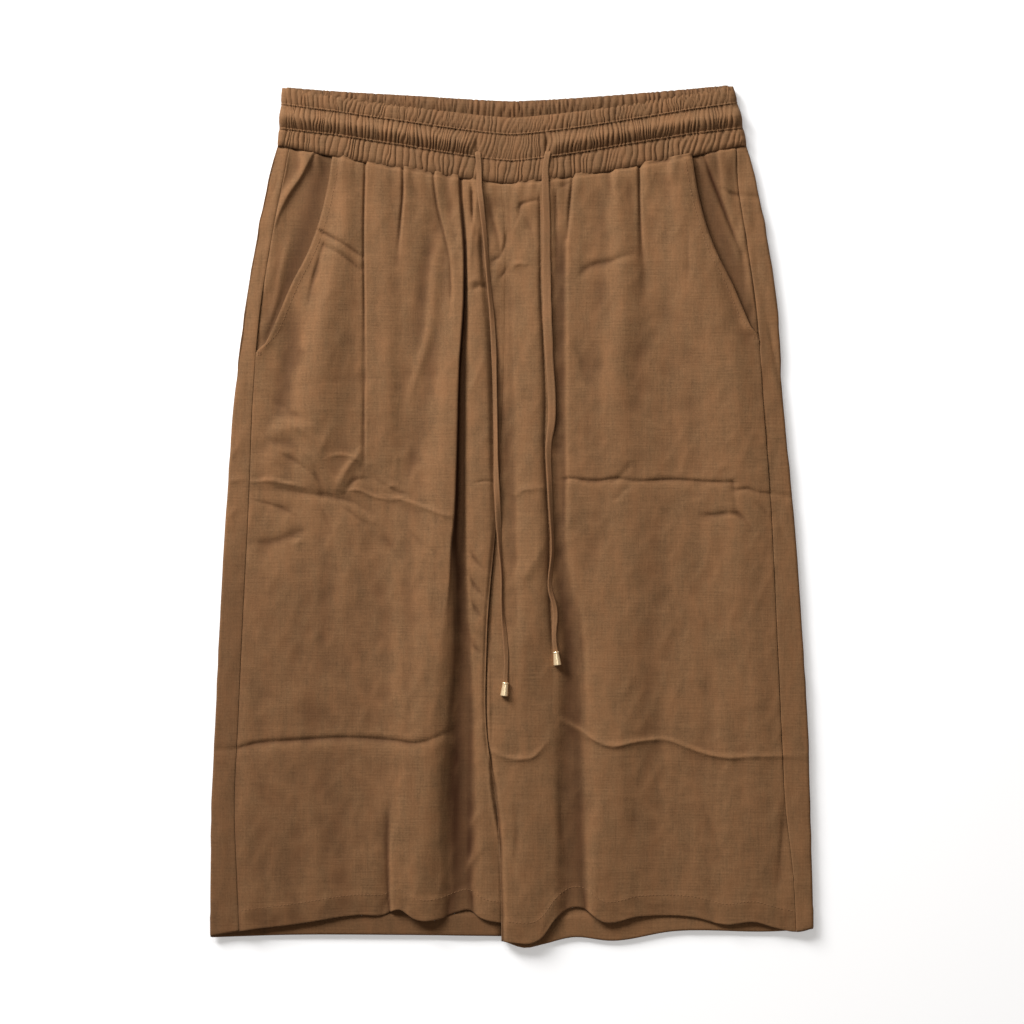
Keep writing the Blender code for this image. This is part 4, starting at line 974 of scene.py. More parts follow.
# %% Fronts
GUIDES = {       # lines that the grids' columns follow: drop, x
    "front_left": (
        ((55, -122.9), (112, -124.5), (306, -124), (500, -121), (725, -104)),
        ((55, -91.5), (98, -91.7), (140, -95), (300, -96), (725, -86)),
        ((55, -65.1), (79, -65.1), (106, -61.5), (129, -55.8), (151, -51.5), (183, -52),
         (300, -62), (725, -74)),
        ((60, -47), (82, -45.5), (146, -40.8), (183, -41.0), (267, -46.2), (365, -49),
         (422, -49.5), (479, -48), (546, -53), (582, -60), (631, -62), (670, -60), (725, -59)),
        ((60, -41), (82, -41.5), (146, -37.6), (183, -37.6), (267, -39), (365, -40),
         (479, -37), (600, -39), (725, -38))),
    "front_right": (
        ((60, 23), (105, 23.4), (172, 24.4), (222, 26.6), (267, 28), (345, 29.5), (380, 31),
         (460, 33), (582, 40), (725, 42)),
        ((60, 52.6), (78, 51.9), (105, 49.4), (135, 47.4), (268, 46.6), (404, 47.5), (432, 54),
         (466, 57), (582, 63), (636, 64.5), (725, 62)),
        ((55, 107), (104, 107.5), (151, 111.5), (300, 128), (725, 140)))}
# How many columns lie between one of those lines, or an edge of the piece, and the next.
COUNTS = {"front_left": (70, 28, 24, 18, 18, 32), "front_right": (42, 20, 48, 80)}
FRONT_ROWS = 399
LEAN = 3.0               # how far the lip of the open fold hangs over it
SEAM_LAP = 0.6           # how far each front passes the middle seam, the right one on top
FLOOR_SHARPNESS = 2.5    # how suddenly the soft floor stops a hollow
FRONT_CLEAR = 1.25       # lowest that a front's underside comes
MOUTH_SHADE = 0.15       # how much painted shade lies along the mouth, where the cloth turns in
# At the inner leg: width of the turned edge, share of the height it loses, how far it dips.
INNER_TURN = {"left": (3.0, 0.12, 0.4), "right": (4.0, 0.4, 0.3)}


def front_level(side, x, drop):
    """Height of the middle of a front's wall: its level, rolls, creases and unevenness, kept above
    the back by a soft floor, and turned down to the inner leg once the legs part."""
    name = "front_" + side
    z = (FRONT_LEVEL + along(ROLLS[name], x, drop) + creases(x, drop) + rumple(x, drop)
         + gathers(x, drop))
    z = FLOOR_LEVEL + np.logaddexp(0, (z - FLOOR_LEVEL) * FLOOR_SHARPNESS) / FLOOR_SHARPNESS
    inner = np.abs(x - middle_edge(side, drop))
    turn, share, under = INNER_TURN[side]
    z = FLOOR_LEVEL + (z - FLOOR_LEVEL) * (1 - parted(drop) * (1 - ease(inner / turn)) * share)
    return np.maximum(z - under * bell(inner / 1.6), 1.0)


def front_outer(side, drop):
    """Outer edge of a front: along the pocket mouth, then down the side seam."""
    seam = side_seam(side, drop)
    slit = mouth(side, drop)
    below = ease((drop - MOUTH_END[side] + 8) / 8)
    return slit + (seam - slit) * below + INWARD[side] * SEAM / 2


def make_front(side):
    name = "front_" + side

    def x_at(drop):
        lines = [smooth(drop, *np.array(guide, float).T) for guide in GUIDES[name]]
        edges = [front_outer(side, drop), section("middle", drop) + INWARD[side] * SEAM_LAP]
        lines = [edges[0], *lines, edges[1]] if side == "left" else [edges[1], *lines, edges[0]]
        columns = []
        for left, right, count in zip(lines[:-1], lines[1:], COUNTS[name]):
            for share in crowd(count):
                here = len(columns)
                columns.append(left[:, here] * (1 - share) + right[:, here] * share)
        columns.append(lines[-1][:, -1])
        return np.stack(columns, axis=1)

    columns = sum(COUNTS[name]) + 1
    x, drop = fill_down(rows_down(FRONT_ROWS), columns, x_at, lambda x: hem(name, x))
    thickness = hem_wall(drop, hem(name, x))
    z = front_level(side, x, drop)
    # Under the waistband the cloth dips. At the mouth it stands up a little, and there and at the
    # side seam its very edge rolls under.
    z -= BAND_DIP["front"] * under_band(x, drop)
    edge = np.abs(x - front_outer(side, drop))
    above_end = 1 - ease((drop - MOUTH_END[side]) / 12)
    stands_up = (0.3 + 0.8 * ease((drop - 120) / 50)) * above_end
    z += stands_up * bell(edge / 6) - EDGE_DIP["front"] * edge_roll(drop) * bell(edge / 1.1)
    # The hem settles on the back's.
    z -= 1.1 * bell((hem(name, x) - drop) / 15)
    z = np.maximum(z, FRONT_CLEAR + thickness / 2)
    uv = np.stack((x, -drop), axis=-1) * MM
    if side == "left":
        # The lip of the open fold: high points beside it are drawn over the gap.
        lip = np.array(ROLLS[name][0][1], float)
        line = smooth(drop, lip[:, 0], lip[:, 1])
        high = np.clip((z - 4.0) / 6.0, 0, 1)
        lean = LEAN * ease((drop - 110) / 200) * (1 - ease((drop - 410) / 70))
        x = x + lean * high * bell((x - line + 1) / 4)
    # Painted shade: darker in creases, deep folds and along the mouth's edge, and painted light on
    # crests.
    dye_and_painted_shade = hollow(z) + along(SHADES[name], x, drop) + MOUTH_SHADE * above_end * bell(edge / 1.3)
    made = wall(name, place(x, drop, z), thickness, uv, panel_cloth, dye_and_painted_shade)
    print(name, "has", len(made.data.polygons), "faces, highest", round(float(z.max()), 1), "mm")
    return made


front_left = make_front("left")
front_right = make_front("right")

# %% [markdown]
# ## The pocket facings
#
# Inside each slant mouth the hip is covered by the facing, a triangle of the same cloth that runs
# from the side seam to beneath the mouth's edge. It is a separate piece and lies lower than the
# front, so that the mouth reads as a real opening.

# %% Facings
FACING_LEVEL = 2.5
FACING_CLEAR = 1.2       # lowest that its underside comes
FACING_ROWS = 181
FACING_SHADE = 0.08      # how much painted shade lies over all of it, as it lies below the front


def make_facing(side):
    name = "pocket_facing_" + side
    inward = INWARD[side]
    end = MOUTH_END[side]
    on_face = np.linspace(0, 1, 60)
    across = np.concatenate((on_face, np.ones(9)))
    beneath = np.concatenate((on_face * 0, np.linspace(0, 1, 10)[1:]))

    def x_at(drop):
        seam = side_seam(side, drop) + inward * SEAM / 2
        width = np.maximum(inward * (mouth(side, drop) - seam), 1)
        return seam + inward * (width * across + UNDERLAP * beneath)

    x, drop = fill_down(np.linspace(0, 1, FACING_ROWS), len(across), x_at, lambda x: x * 0 + end)
    seam_level = FRONT_LEVEL + (FACING_LEVEL - FRONT_LEVEL) * ease((drop - end + 90) / 80)
    z = seam_level + (FACING_LEVEL - seam_level) * ease(across / 0.9)
    # Folds ride on the open part, and the strip beneath the mouth stays flat.
    open_part = 1 - ease((across - 0.62) / 0.36)
    z = z + (along(ROLLS[name], x, drop) + creases(x, drop) + gathers(x, drop)) * open_part
    z = z + 0.4 * rumple(x, drop) * (1 - ease((across - 0.8) / 0.2))
    edge = np.abs(x - side_seam(side, drop))
    z = z + 0.9 * noise(x, drop, (7, 12), 61) * bell((edge - 5) / 5) * ease((drop - 95) / 25)
    z = z - EDGE_DIP["facing"] * bell(edge) - BAND_DIP["facing"] * under_band(x, drop)
    z = np.maximum(z, FACING_CLEAR + CLOTH / 2)
    uv = np.stack((x + 7, -drop), axis=-1) * MM
    # Painted shade in its creases, towards the mouth and over all of it, and painted light on crests.
    dye_and_painted_shade = hollow(z) + along(SHADES[name], x, drop) + FACING_SHADE
    made = wall(name, place(x, drop, z), CLOTH, uv, panel_cloth, dye_and_painted_shade)
    print(name, "has", len(made.data.polygons), "faces")
    return made


facing_left = make_facing("left")
facing_right = make_facing("right")

# %% [markdown]
# ## The two backs
#
# A back lies on the table, turns up round the outer edge of the leg and comes over to the side seam.
# That turn is what gives the garment its soft, rounded outline, so it is one piece of cloth here
# too: a grid whose columns go out flat, round half a turn, and back in above.

# %% Backs
BACK_ROWS = 359
BACK_SHADE = 0.05
AWAY_SHADE = {"left": 0.25, "right": 0.0}      # the lower left leg lies away from the light
WAVE = 0.5               # how far the outer edge strays from its drawn line
RIM_DROP = 2.5           # how far the left one turns down beside the pocket


def make_back(side):
    name = "back_" + side
    outward = -INWARD[side]
    radius = (FRONT_LEVEL - CLOTH / 2) / 2
    flat = np.linspace(0, 1, 60) ** 0.9
    turn = np.radians(np.linspace(0, 180, 17))[1:-1]
    over = np.linspace(0, 1, 30)
    climb = np.concatenate((flat * 0, (1 - np.cos(turn)) / 2, over * 0 + 1))
    of_inner = np.concatenate((1 - flat, turn * 0, over * 0))
    of_seam = np.concatenate((flat * 0, turn * 0, over))
    stands_out = np.concatenate((flat * 0, np.sin(turn), over * 0))

    def x_at(drop):
        inner = middle_edge(side, drop)
        bend = section(side, drop) - outward * (radius + CLOTH / 2)
        seam = side_seam(side, drop) + outward * SEAM / 2
        return (inner * of_inner + seam * of_seam + bend * (1 - of_inner - of_seam)
                + outward * radius * stands_out)

    def bottom_at(x):
        return hem(name, x) + (hem("front_" + side, x) - hem(name, x)) * climb

    x, drop = fill_down(rows_down(BACK_ROWS), len(climb), x_at, bottom_at)
    thickness = hem_wall(drop, bottom_at(x))
    relief = creases(x, drop) + rumple(x, drop)
    hidden = np.clip(creases(-x, drop) * 0.35 + rumple(-x, drop) * 0.5, 0, 0.6)
    lowest = thickness / 2
    on_top = ease((climb - 0.5) / 0.5)
    z = lowest + climb * (FRONT_LEVEL - lowest) + relief * on_top * 0.8
    z = z + hidden * (1 - ease(climb / 0.3))
    edge = np.abs(x - side_seam(side, drop))
    z = z - EDGE_DIP["back"] * edge_roll(drop) * climb * bell(edge / 1.1)
    # High on the left the turn is rounder, so that the outer rim rises to the wrap.
    if side == "left":
        rim = bell((x - section(side, drop)) / 7) * (1 - 0.7 * ease((drop - 215) / 60))
        z = z - RIM_DROP * on_top * rim
    z = z + 0.5 * climb * gathers(x, drop)
    pucker = noise(x, drop, (8, 13), 62) * bell((edge - 5) / 6) * on_top
    z = z + 0.8 * pucker * ease((drop - 60) / 30) * (1 - 0.6 * ease((drop - 240) / 60))
    z = np.maximum(z - BAND_DIP["back"] * climb * under_band(x, drop), lowest)
    # Small waves at the outer edge keep the outline from looking ruled.
    wave = noise(drop, drop * 0, (13, 1), 31) * WAVE * (1 - 0.6 * ease((drop - 260) / 60))
    x = x + outward * ease(climb / 0.3) * wave * bell(of_seam * 2)
    uv = np.stack((x + outward * climb * 9, -drop), axis=-1) * MM
    # Painted shade: a little over all of each back, and more on the lower left leg.
    dye_and_painted_shade = BACK_SHADE + AWAY_SHADE[side] * ease((drop - 360) / 80)
    made = wall(name, place(x, drop, z), thickness, uv, panel_cloth, dye_and_painted_shade)
    print(name, "has", len(made.data.polygons), "faces")
    return made


back_left = make_back("left")
back_right = make_back("right")

# %% [markdown]
# ## The waistband
#
# Elastic pulls a long strip of cloth into a short ring, and two lines of stitching divide it into
# three channels. Between stitches the spare cloth can only buckle, so it stands in rows of small
# upright gathers, rounder in the middle of each channel and pinched at its edges. The middle channel
# also holds the tie, which swells it from each side to the slit where the tie comes out.

# %% Waistband
# Rows: share of the way down, wall of the front half, wall between the slits, puff at the sides.
BAND = np.array((
    (0.00, 1.8, 1.8, 0.0), (0.04, 2.6, 2.6, 0.3), (0.12, 2.9, 2.9, 0.5), (0.205, 2.8, 2.8, 0.2),
    (0.235, 2.45, 2.45, -0.4), (0.265, 2.8, 2.8, 0.1), (0.33, 3.6, 3.0, 0.6), (0.38, 5.2, 3.1, 1.0),
    (0.44, 6.4, 3.1, 1.2), (0.51, 6.0, 3.0, 1.0), (0.565, 4.8, 2.8, 0.3), (0.605, 3.4, 2.6, 0),
    (0.63, 2.45, 2.35, -0.5), (0.66, 2.8, 2.8, 0.2), (0.81, 3.1, 3.1, 0.4), (0.95, 2.9, 2.9, 0.0),
    (1.00, 2.2, 2.2, -0.2)))
STITCHES = (0.235, 0.63)          # the two lines of stitching, in the table's shares
# Where those lines really lie: distance from the middle, then each one's share of the height.
STITCH_LINES = np.array(((0, 0.25, 0.645), (94, 0.24, 0.615), (151, 0.245, 0.63),
                         (200, 0.29, 0.71)))
# Each channel's first and last share, pitch of its gathers and a random seed.
CHANNELS = ((0.0, STITCHES[0], 3.3, 41), (*STITCHES, 3.0, 42), (STITCHES[1], 1.0, 3.9, 43))
GATHERS = 180                     # in each channel, more than reach from end to end
BAND_BACK_WALL = 2.0
BAND_INSIDE = 3.0                 # height at which the front half's wall begins
BAND_TURN = 4.0                   # how far the band reaches out past its flat part at each end
SLIT_X = 30.0                     # how far each slit lies from the middle
SLIT_SHARE = 0.44                 # and how far down, as a share
RUCHE = 2.3                       # height of the largest gathers
FRONT_COLUMNS = 1120
BACK_COLUMNS = 900
FRONT_GATHERS, BACK_GATHERS = 0, 7     # what is added to the channels' seeds
GRAIN_ROW = 20                    # the row, in the middle channel, whose gathers the weave follows


def down_band(x, down):
    """The table's shares moved so that its stitch lines fall on STITCH_LINES."""
    first, last = STITCHES
    upper = np.interp(np.abs(x), STITCH_LINES[:, 0], STITCH_LINES[:, 1])
    lower = np.interp(np.abs(x), STITCH_LINES[:, 0], STITCH_LINES[:, 2])
    return np.where(down < first, down / first * upper, np.where(
        down < last, upper + (down - first) / (last - first) * (lower - upper),
        lower + (down - last) / (1 - last) * (1 - lower)))


def ruche(x, down, seed_shift=0):
    """Height of the gathers, 0 in the creases and 1 on the crests. Each channel has its own row of
    uneven gathers. A point's place among them gives its phase t, and the ridge over one gather is
    a root of 4t(1 - t), so crests are flat and creases sharp. A crease is deep in one place and
    shallow in another, and the gathers lean one way and then the other."""
    total = np.zeros(np.broadcast(x, down).shape)
    for first, last, pitch, seed in CHANNELS:
        rng = np.random.default_rng(seed + seed_shift)
        gaps = pitch * rng.uniform(0.35, 1.75, GATHERS)
        starts = np.cumsum(gaps) - gaps.sum() / 2
        sizes = rng.uniform(0.4, 1.0, GATHERS)
        local = np.clip((down - first) / (last - first), 0, 1)
        lean = (2.6 + 5.0 * noise(x + 400, x * 0, (19, 1), seed + 1)) * (local - 0.5)
        bow = 1.4 * noise(x + 400, local * 10, (6, 4), seed + 2)
        phase = np.interp(x + lean + bow, starts, np.arange(GATHERS))
        whole = np.floor(phase).astype(int)
        part = phase - whole
        ridge = (4 * part * (1 - part)) ** 0.55
        depth = 0.84 + 0.22 * noise(x + 400, local * 10, (2.6, 4.5), seed + 3)
        height = 1 - sizes[np.clip(whole, 0, GATHERS - 1)] * (1 - ridge) * depth
        # lower towards the channel's edges, and lower still at the seam with the fronts
        share = (0.8 + 0.2 * np.sin(np.pi * local)) * (1 - 0.4 * bell((down - 1) / 0.05))
        total = total + height * share * ((down >= first) & (down <= last))
    return total


def slits(x, down):
    """1 at the two slits in the middle channel that the ties come out of, 0 away from them."""
    return bell((np.abs(x) - SLIT_X) / 2.0) * bell((down - SLIT_SHARE) / 0.09)


def band_height(x, down):
    """Top of the waistband's front half."""
    share = ease((np.abs(x) - SLIT_X + 3) / 14)
    full = smooth(down, BAND[:, 0], BAND[:, 1])
    thin = smooth(down, BAND[:, 0], BAND[:, 2])
    swell = full * share + thin * (1 - share)
    low = 0.5 * noise(x + 400, down * 60, (30, 40), 47) * np.sin(np.pi * np.clip(down, 0, 1))
    # The lower flank of the roll over the tie is pulled in at every crease.
    crest = ruche(x, down, FRONT_GATHERS)
    pits = 2.2 * share * (1 - crest) * bell((down - 0.54) / 0.075)
    gathered = RUCHE * (crest - 0.5) * (0.85 + 0.15 * share)
    return BAND_INSIDE + swell + gathered + low - pits - 2.0 * slits(x, down)


def make_waistband():
    """The ring's outside and inside as grids that go along the front to the right, round the right
    end, back along the back and round the left end."""
    beside = np.add.outer(STITCHES, (-0.012, 0, 0.012)).ravel()
    down = np.unique(np.concatenate((np.linspace(0, 1, 29), beside)))[:, None]
    front_u = np.linspace(-1, 1, FRONT_COLUMNS)
    back_u = np.linspace(1, -1, BACK_COLUMNS)
    turn = np.radians(np.linspace(0, 180, 18))[1:-1]

    def ring(front, right, back, left):
        return np.concatenate((front, right, back, left), axis=1)

    puff = 0.6 * smooth(down, BAND[:, 0], BAND[:, 3])
    flat = np.interp(down, (0, 1), BAND_HALF_WIDTHS) + puff - 0.6 - BAND_TURN
    # The right end is drawn in at the top and the left one let out a little.
    right_flat = flat - 6.0 * (1 - down) ** 1.6
    left_flat = flat + 1.4 * (1 - down) ** 1.6
    front_x = np.where(front_u > 0, right_flat, left_flat) * front_u
    back_x = np.where(back_u > 0, right_flat, left_flat) * back_u
    ripple = 0.5 * ruche(np.cos(turn) * 6 + 198, down, 5)
    out_turn = (BAND_TURN + ripple) * np.sin(turn)
    in_turn = 1.6 * np.sin(turn)
    out_x = ring(front_x, right_flat + out_turn, back_x, -left_flat - out_turn)
    in_x = ring(front_x, right_flat + in_turn, back_x, -left_flat - in_turn)

    height = band_height(front_x, down)
    under = np.clip(0.9 - ruche(back_x, down, 9), 0, 0.9)
    out_z = ring(height, height[:, -1:] / 2 * (1 + np.cos(turn)), under,
                 height[:, :1] / 2 * (1 - np.cos(turn)))
    in_front = BAND_INSIDE + np.clip(0.5 * ruche(front_x, down, 3), 0, 0.6)
    # Above the front's top edge the back's inside is free to stand up in gathers of its own.
    free = 1 - ease((down - 0.12) / 0.16)
    behind = ruche(back_x * 0.7, down, BACK_GATHERS)
    in_back = BAND_BACK_WALL - 0.4 + (0.6 + 4.6 * free) * behind
    in_back = np.minimum(in_back, BAND_INSIDE - 0.35 + 4.0 * free)
    middle = (BAND_INSIDE + BAND_BACK_WALL) / 2 + down * 0
    slack = (BAND_INSIDE - BAND_BACK_WALL) / 2 * np.cos(turn)
    in_z = ring(in_front, middle + slack, in_back, middle - slack)

    on_front = np.concatenate((front_u * 0 + 1, (1 + np.cos(turn)) / 2, back_u * 0,
                               (1 - np.cos(turn)) / 2))
    top = band_edge("front_top", out_x) * on_front + band_edge("back_top", out_x) * (1 - on_front)
    # The rim is drawn up on each crest and down in each crease.
    near_rim = down * 0 + 0.12
    rim = 0.7 * (0.5 - ring(ruche(front_x, near_rim, FRONT_GATHERS), ripple * 0,
                            ruche(back_x * 0.7, near_rim, BACK_GATHERS), ripple * 0))
    start = top + band_slope(out_x) + rim * bell(down / 0.15)
    drop = start + down_band(out_x, down) * (band_edge("bottom", out_x) - start)
    grain = np.cumsum(np.hypot(np.gradient(out_x[0]), np.gradient(out_z[GRAIN_ROW])))
    uv = np.stack(np.broadcast_arrays(grain, -drop), axis=-1) * MM
    # Painted shade in the creases of the front's gathers, most near the middle and less at the bottom
    # seam, and a little painted light towards the ends; painted shade too in the creases of the back's
    # inside strip.
    between = bell(front_x / 120)
    crease = np.maximum(1 - ruche(front_x, down, FRONT_GATHERS), 0) ** 1.2
    deep = ((0.56 + 0.25 * between) * crease - 0.08 * (1 - between)) * (
        1 - 0.5 * bell((down - 1) / 0.04))
    inside = 1.1 * np.maximum(1 - behind, 0) * free + 0.05
    dye_and_painted_shade = ring(deep, ripple * 0, inside, ripple * 0)
    made = shell("waistband", place(out_x, drop, out_z), place(in_x, drop, in_z), uv, band_cloth,
                 dye_and_painted_shade, ring=True)
    print("waistband has", len(made.data.polygons), "faces")
    return made


waistband = make_waistband()

# %% [markdown]
# ## The ties and their metal ends
#
# Each tie is a strip of the same cloth, folded in on itself and stitched flat. It leaves its slit,
# lies down the front in slack curves, and turns over here and there. A ribbon is a rounded flat
# section carried along the route: at each point the section's width lies across the route, turned
# by a roll angle. The route is the same one that the solids follow.

# %% Ties
TIE_ROUTES = {    # x, drop and height of the middle of the solid tie
    "left": (
        (-29.3, 55, 9.6), (-28.0, 69, 8.5), (-27.7, 85, 8.1), (-25.4, 106, 8.0), (-23.0, 128, 7.9),
        (-21.3, 150, 7.9), (-19.4, 172, 8.0), (-17.2, 194, 8.0), (-15.8, 216, 8.0),
        (-15.0, 240, 7.9), (-14.4, 268, 7.9), (-14.0, 294, 7.9), (-13.3, 334, 8.0),
        (-12.3, 354, 8.1), (-11.2, 374, 8.4), (-10.0, 394, 8.2), (-8.6, 415, 8.6),
        (-8.4, 436, 9.0), (-7.2, 456, 9.2), (-5.6, 472, 9.6), (-4.9, 484, 9.8), (-5.5, 508, 10.4)),
    "right": (
        (31, 55, 9.5), (28.5, 69, 8.4), (28.5, 90, 7.8), (29.3, 116, 7.7), (29.3, 151, 7.9),
        (30.2, 201, 8.1), (31.9, 235, 8.1), (33.6, 262, 8.1), (33.6, 285, 8.3), (31, 307, 8.6),
        (31.9, 337, 8.8), (32.7, 355, 8.7), (34.4, 395, 8.5), (32.7, 430, 8.9), (36.1, 443, 8.5),
        (36.1, 473, 8.7), (37.4, 482, 9.0))}
# Rows: share of the way along, width, roll in degrees.
TIE_SHAPES = {
    "left": ((0, 4.6, 10), (0.06, 5.0, -15), (0.14, 4.6, 20), (0.24, 4.2, 40), (0.34, 4.6, 15),
             (0.45, 4.4, -20), (0.56, 4.8, -35), (0.66, 5.4, 10), (0.74, 5.2, 45), (0.82, 4.2, 70),
             (0.9, 4.4, 25), (1, 3.8, 0)),
    "right": ((0, 4.6, -10), (0.06, 6.0, 0), (0.2, 7.2, 5), (0.32, 7.6, -8), (0.42, 7.2, 6),
              (0.5, 6.8, -4), (0.6, 5.6, 18), (0.7, 4.8, 35), (0.8, 4.4, 48), (0.88, 4.4, 25),
              (0.94, 4.2, -10), (1, 3.8, 0))}
TIE_POINTS = 330
TIE_WIDTH = 5.0
TIE_THICKNESS = 1.5
GROOVE_HALF_WIDTH = 0.10          # of the groove along its middle, as a share of the tie's width
GROOVE_DEPTH = 0.28               # as a share of its thickness
tie_cloth = cloth_material("tie_cloth", (0.217, 0.1130, 0.0515), (0.110, 0.0555, 0.0248), yarn=0.8)


def front_top(x, drop):
    """Highest cloth under a place on the front: a front's face or the waistband's."""
    side_z = np.where(x < section("middle", drop), front_level("left", x, drop),
                      front_level("right", x, drop)) + CLOTH / 2
    bottom, top = band_edge("bottom", x), band_edge("front_top", x)
    down = (drop - top) / (bottom - top)
    return np.where(down < 1, np.maximum(band_height(x, np.clip(down, 0, 1)), side_z), side_z)


def tie_line(side):
    """Points along a tie's route, evenly spaced, with the tie's width and roll there."""
    route = np.array(TIE_ROUTES[side], float)
    reached = distances(*route.T)
    at = np.linspace(0, reached[-1], TIE_POINTS)
    line = np.stack([smooth(at, reached, route[:, k]) for k in range(3)], axis=1)
    share, width, roll = np.array(TIE_SHAPES[side], float).T
    width = smooth(at / reached[-1], share, width)
    roll = np.radians(smooth(at / reached[-1], share, roll))
    return line, width, roll


def make_tie(side):
    name = "drawstring_" + side
    line, width, roll = tie_line(side)
    # It rests on the cloth: above the highest place under its width, evened out along it.
    across = np.linspace(-0.5, 0.5, 7) * width[:, None] * np.cos(roll)[:, None]
    under = front_top(line[:, :1] + across, line[:, 1:2])
    lift = np.abs(across) / np.maximum(np.cos(roll), 0.3)[:, None] * np.abs(np.sin(roll))[:, None]
    rest = (under - lift).max(axis=1) + TIE_THICKNESS / 2
    even = np.convolve(np.pad(rest, 9, "edge"), np.ones(19) / 19, "valid")
    height = np.maximum(even, rest - 0.3) + 0.15
    # Its first few points lie inside the waistband.
    free = ease(np.arange(TIE_POINTS) / 4)
    height = height * free + (BAND_INSIDE + 1.6) * (1 - free)
    line = np.stack((line[:, 0], line[:, 1], height), axis=1)
    tangent = np.gradient(line, axis=0)
    tangent[:, 1] *= -1
    tangent /= np.linalg.norm(tangent, axis=1, keepdims=True)
    side_way = np.cross(tangent, (0, 0, 1))
    side_way /= np.linalg.norm(side_way, axis=1, keepdims=True)
    up = np.cross(side_way, tangent)
    wide = side_way * np.cos(roll)[:, None] + up * np.sin(roll)[:, None]
    thin = np.cross(wide, tangent)
    # The section: a flat oval with a groove along the middle of each face.
    angle = np.linspace(0, 2 * np.pi, 20, endpoint=False)
    out = np.sign(np.cos(angle)) * np.abs(np.cos(angle)) ** 0.55 / 2
    lift = np.sign(np.sin(angle)) * np.abs(np.sin(angle)) ** 0.8 / 2
    groove = 1 - GROOVE_DEPTH * bell(out / GROOVE_HALF_WIDTH)
    middle = place(line[:, 0], line[:, 1], line[:, 2])
    point = np.arange(float(TIE_POINTS))
    pinch = 1 + 0.06 * noise(point, point * 0, (7, 1), 51)
    ring = (middle[:, None] + wide[:, None] * (out[:, None] * (width * pinch)[:, None, None]) * MM
            + thin[:, None] * (lift * groove)[:, None] * TIE_THICKNESS * MM)
    uv = np.stack(np.broadcast_arrays(out * TIE_WIDTH * MM, point[:, None] * 1.4 * MM), axis=-1)
    quads = tube_quads(*ring.shape[:2])[:, ::-1]
    # Painted shade along the groove in the middle of each face and at the tie's edges.
    deep = np.broadcast_to(0.12 * bell(out / 0.09) + 0.1 * bell((np.abs(out) - 0.5) / 0.05),
                           ring.shape[:2])
    made = add_mesh(name, ring.reshape(-1, 3), [quads], uv.reshape(-1, 2), tie_cloth, deep)
    length = np.linalg.norm(np.diff(middle, axis=0), axis=1).sum()
    print(name, "is", round(length * 1000), "mm long")
    return made, middle, length


tie_left, path_left, length_left = make_tie("left")
tie_right, path_right, length_right = make_tie("right")

# %% [markdown]
# ## Metal ends
#
# Each tie ends in a small bell of polished, pale gold metal with a rolled rim. It is a turned
# profile: distance along the axis and radius, with an inner wall, so that its mouth is hollow.

# %% Metal ends
AGLET_PROFILE = np.array((
    (0.2, 0.6), (0.0, 1.6), (0.1, 2.4), (0.5, 2.8), (1.0, 2.8), (1.35, 2.5), (1.9, 2.5),
    (4.5, 2.75), (8.0, 3.1), (10.2, 3.3), (10.9, 3.4), (11.3, 3.4), (11.55, 3.25), (11.6, 3.05),
    (11.3, 2.8), (10.0, 2.6), (6.0, 2.3), (5.6, 1.0)))
AGLET_LENGTH = AGLET_PROFILE[:, 0].max()
AGLET_LEAN = {"left": -1.2, "right": 1.4}       # how far to the right its mouth lies
AGLET_OVERLAP = 1.2               # how much of the tie's end it covers
METALLIC = 0.7
METAL_ROUGHNESS = {"To Min": 0.14, "To Max": 0.34}
METAL_COLOURS = {"A": (1.0, 0.80, 0.52, 1), "B": (0.96, 0.73, 0.44, 1)}
WEAR = {"Scale": 700}


def metal_material():
    """Polished pale gold: worn a little rougher in places by a fine noise."""
    made = bpy.data.materials.new("aglet_metal")
    made.use_nodes = True
    nodes, link = made.node_tree.nodes, made.node_tree.links.new
    shader = nodes["Principled BSDF"]
    shader.inputs["Metallic"].default_value = METALLIC
    coords = nodes.new("ShaderNodeTexCoord")
    texture = nodes.new("ShaderNodeTexNoise")
    set_inputs(texture, WEAR)
    link(coords.outputs["Object"], texture.inputs["Vector"])
    wear = nodes.new("ShaderNodeMapRange")
    set_inputs(wear, METAL_ROUGHNESS)
    link(texture.outputs["Fac"], wear.inputs["Value"])
    link(wear.outputs["Result"], shader.inputs["Roughness"])
    mix = nodes.new("ShaderNodeMix")
    mix.data_type = "RGBA"
    set_inputs(mix, METAL_COLOURS)
    link(texture.outputs["Fac"], mix.inputs["Factor"])
    link(mix.outputs["Result"], shader.inputs["Base Color"])
    return made


aglet_metal = metal_material()


def make_aglet(side, path):
    low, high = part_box("aglet_" + side)
    start = np.array(path[-1])
    start[2] = max(start[2], (low[2] + high[2]) / 2)
    axis = np.array((AGLET_LEAN[side], -AGLET_LENGTH, 0.0))
    axis /= np.linalg.norm(axis)
    sideways = np.array((-axis[1], axis[0], 0.0))
    angle = np.linspace(0, 2 * np.pi, 48, endpoint=False)
    circle = np.cos(angle)[:, None] * sideways + np.sin(angle)[:, None] * np.array((0, 0, 1.0))
    rings = (start - axis * AGLET_OVERLAP * MM + AGLET_PROFILE[:, :1, None] * axis * MM
             + AGLET_PROFILE[:, 1:, None] * circle * MM)
    quads = tube_quads(*rings.shape[:2])
    uv = np.stack(np.broadcast_arrays(angle, AGLET_PROFILE[:, :1] * MM), axis=-1)
    made = add_mesh("aglet_" + side, rings.reshape(-1, 3), [quads], uv.reshape(-1, 2), aglet_metal)
    print("aglet_" + side, "starts at", (start * 1000).round(1))
    return made


aglet_left = make_aglet("left", path_left)
aglet_right = make_aglet("right", path_right)

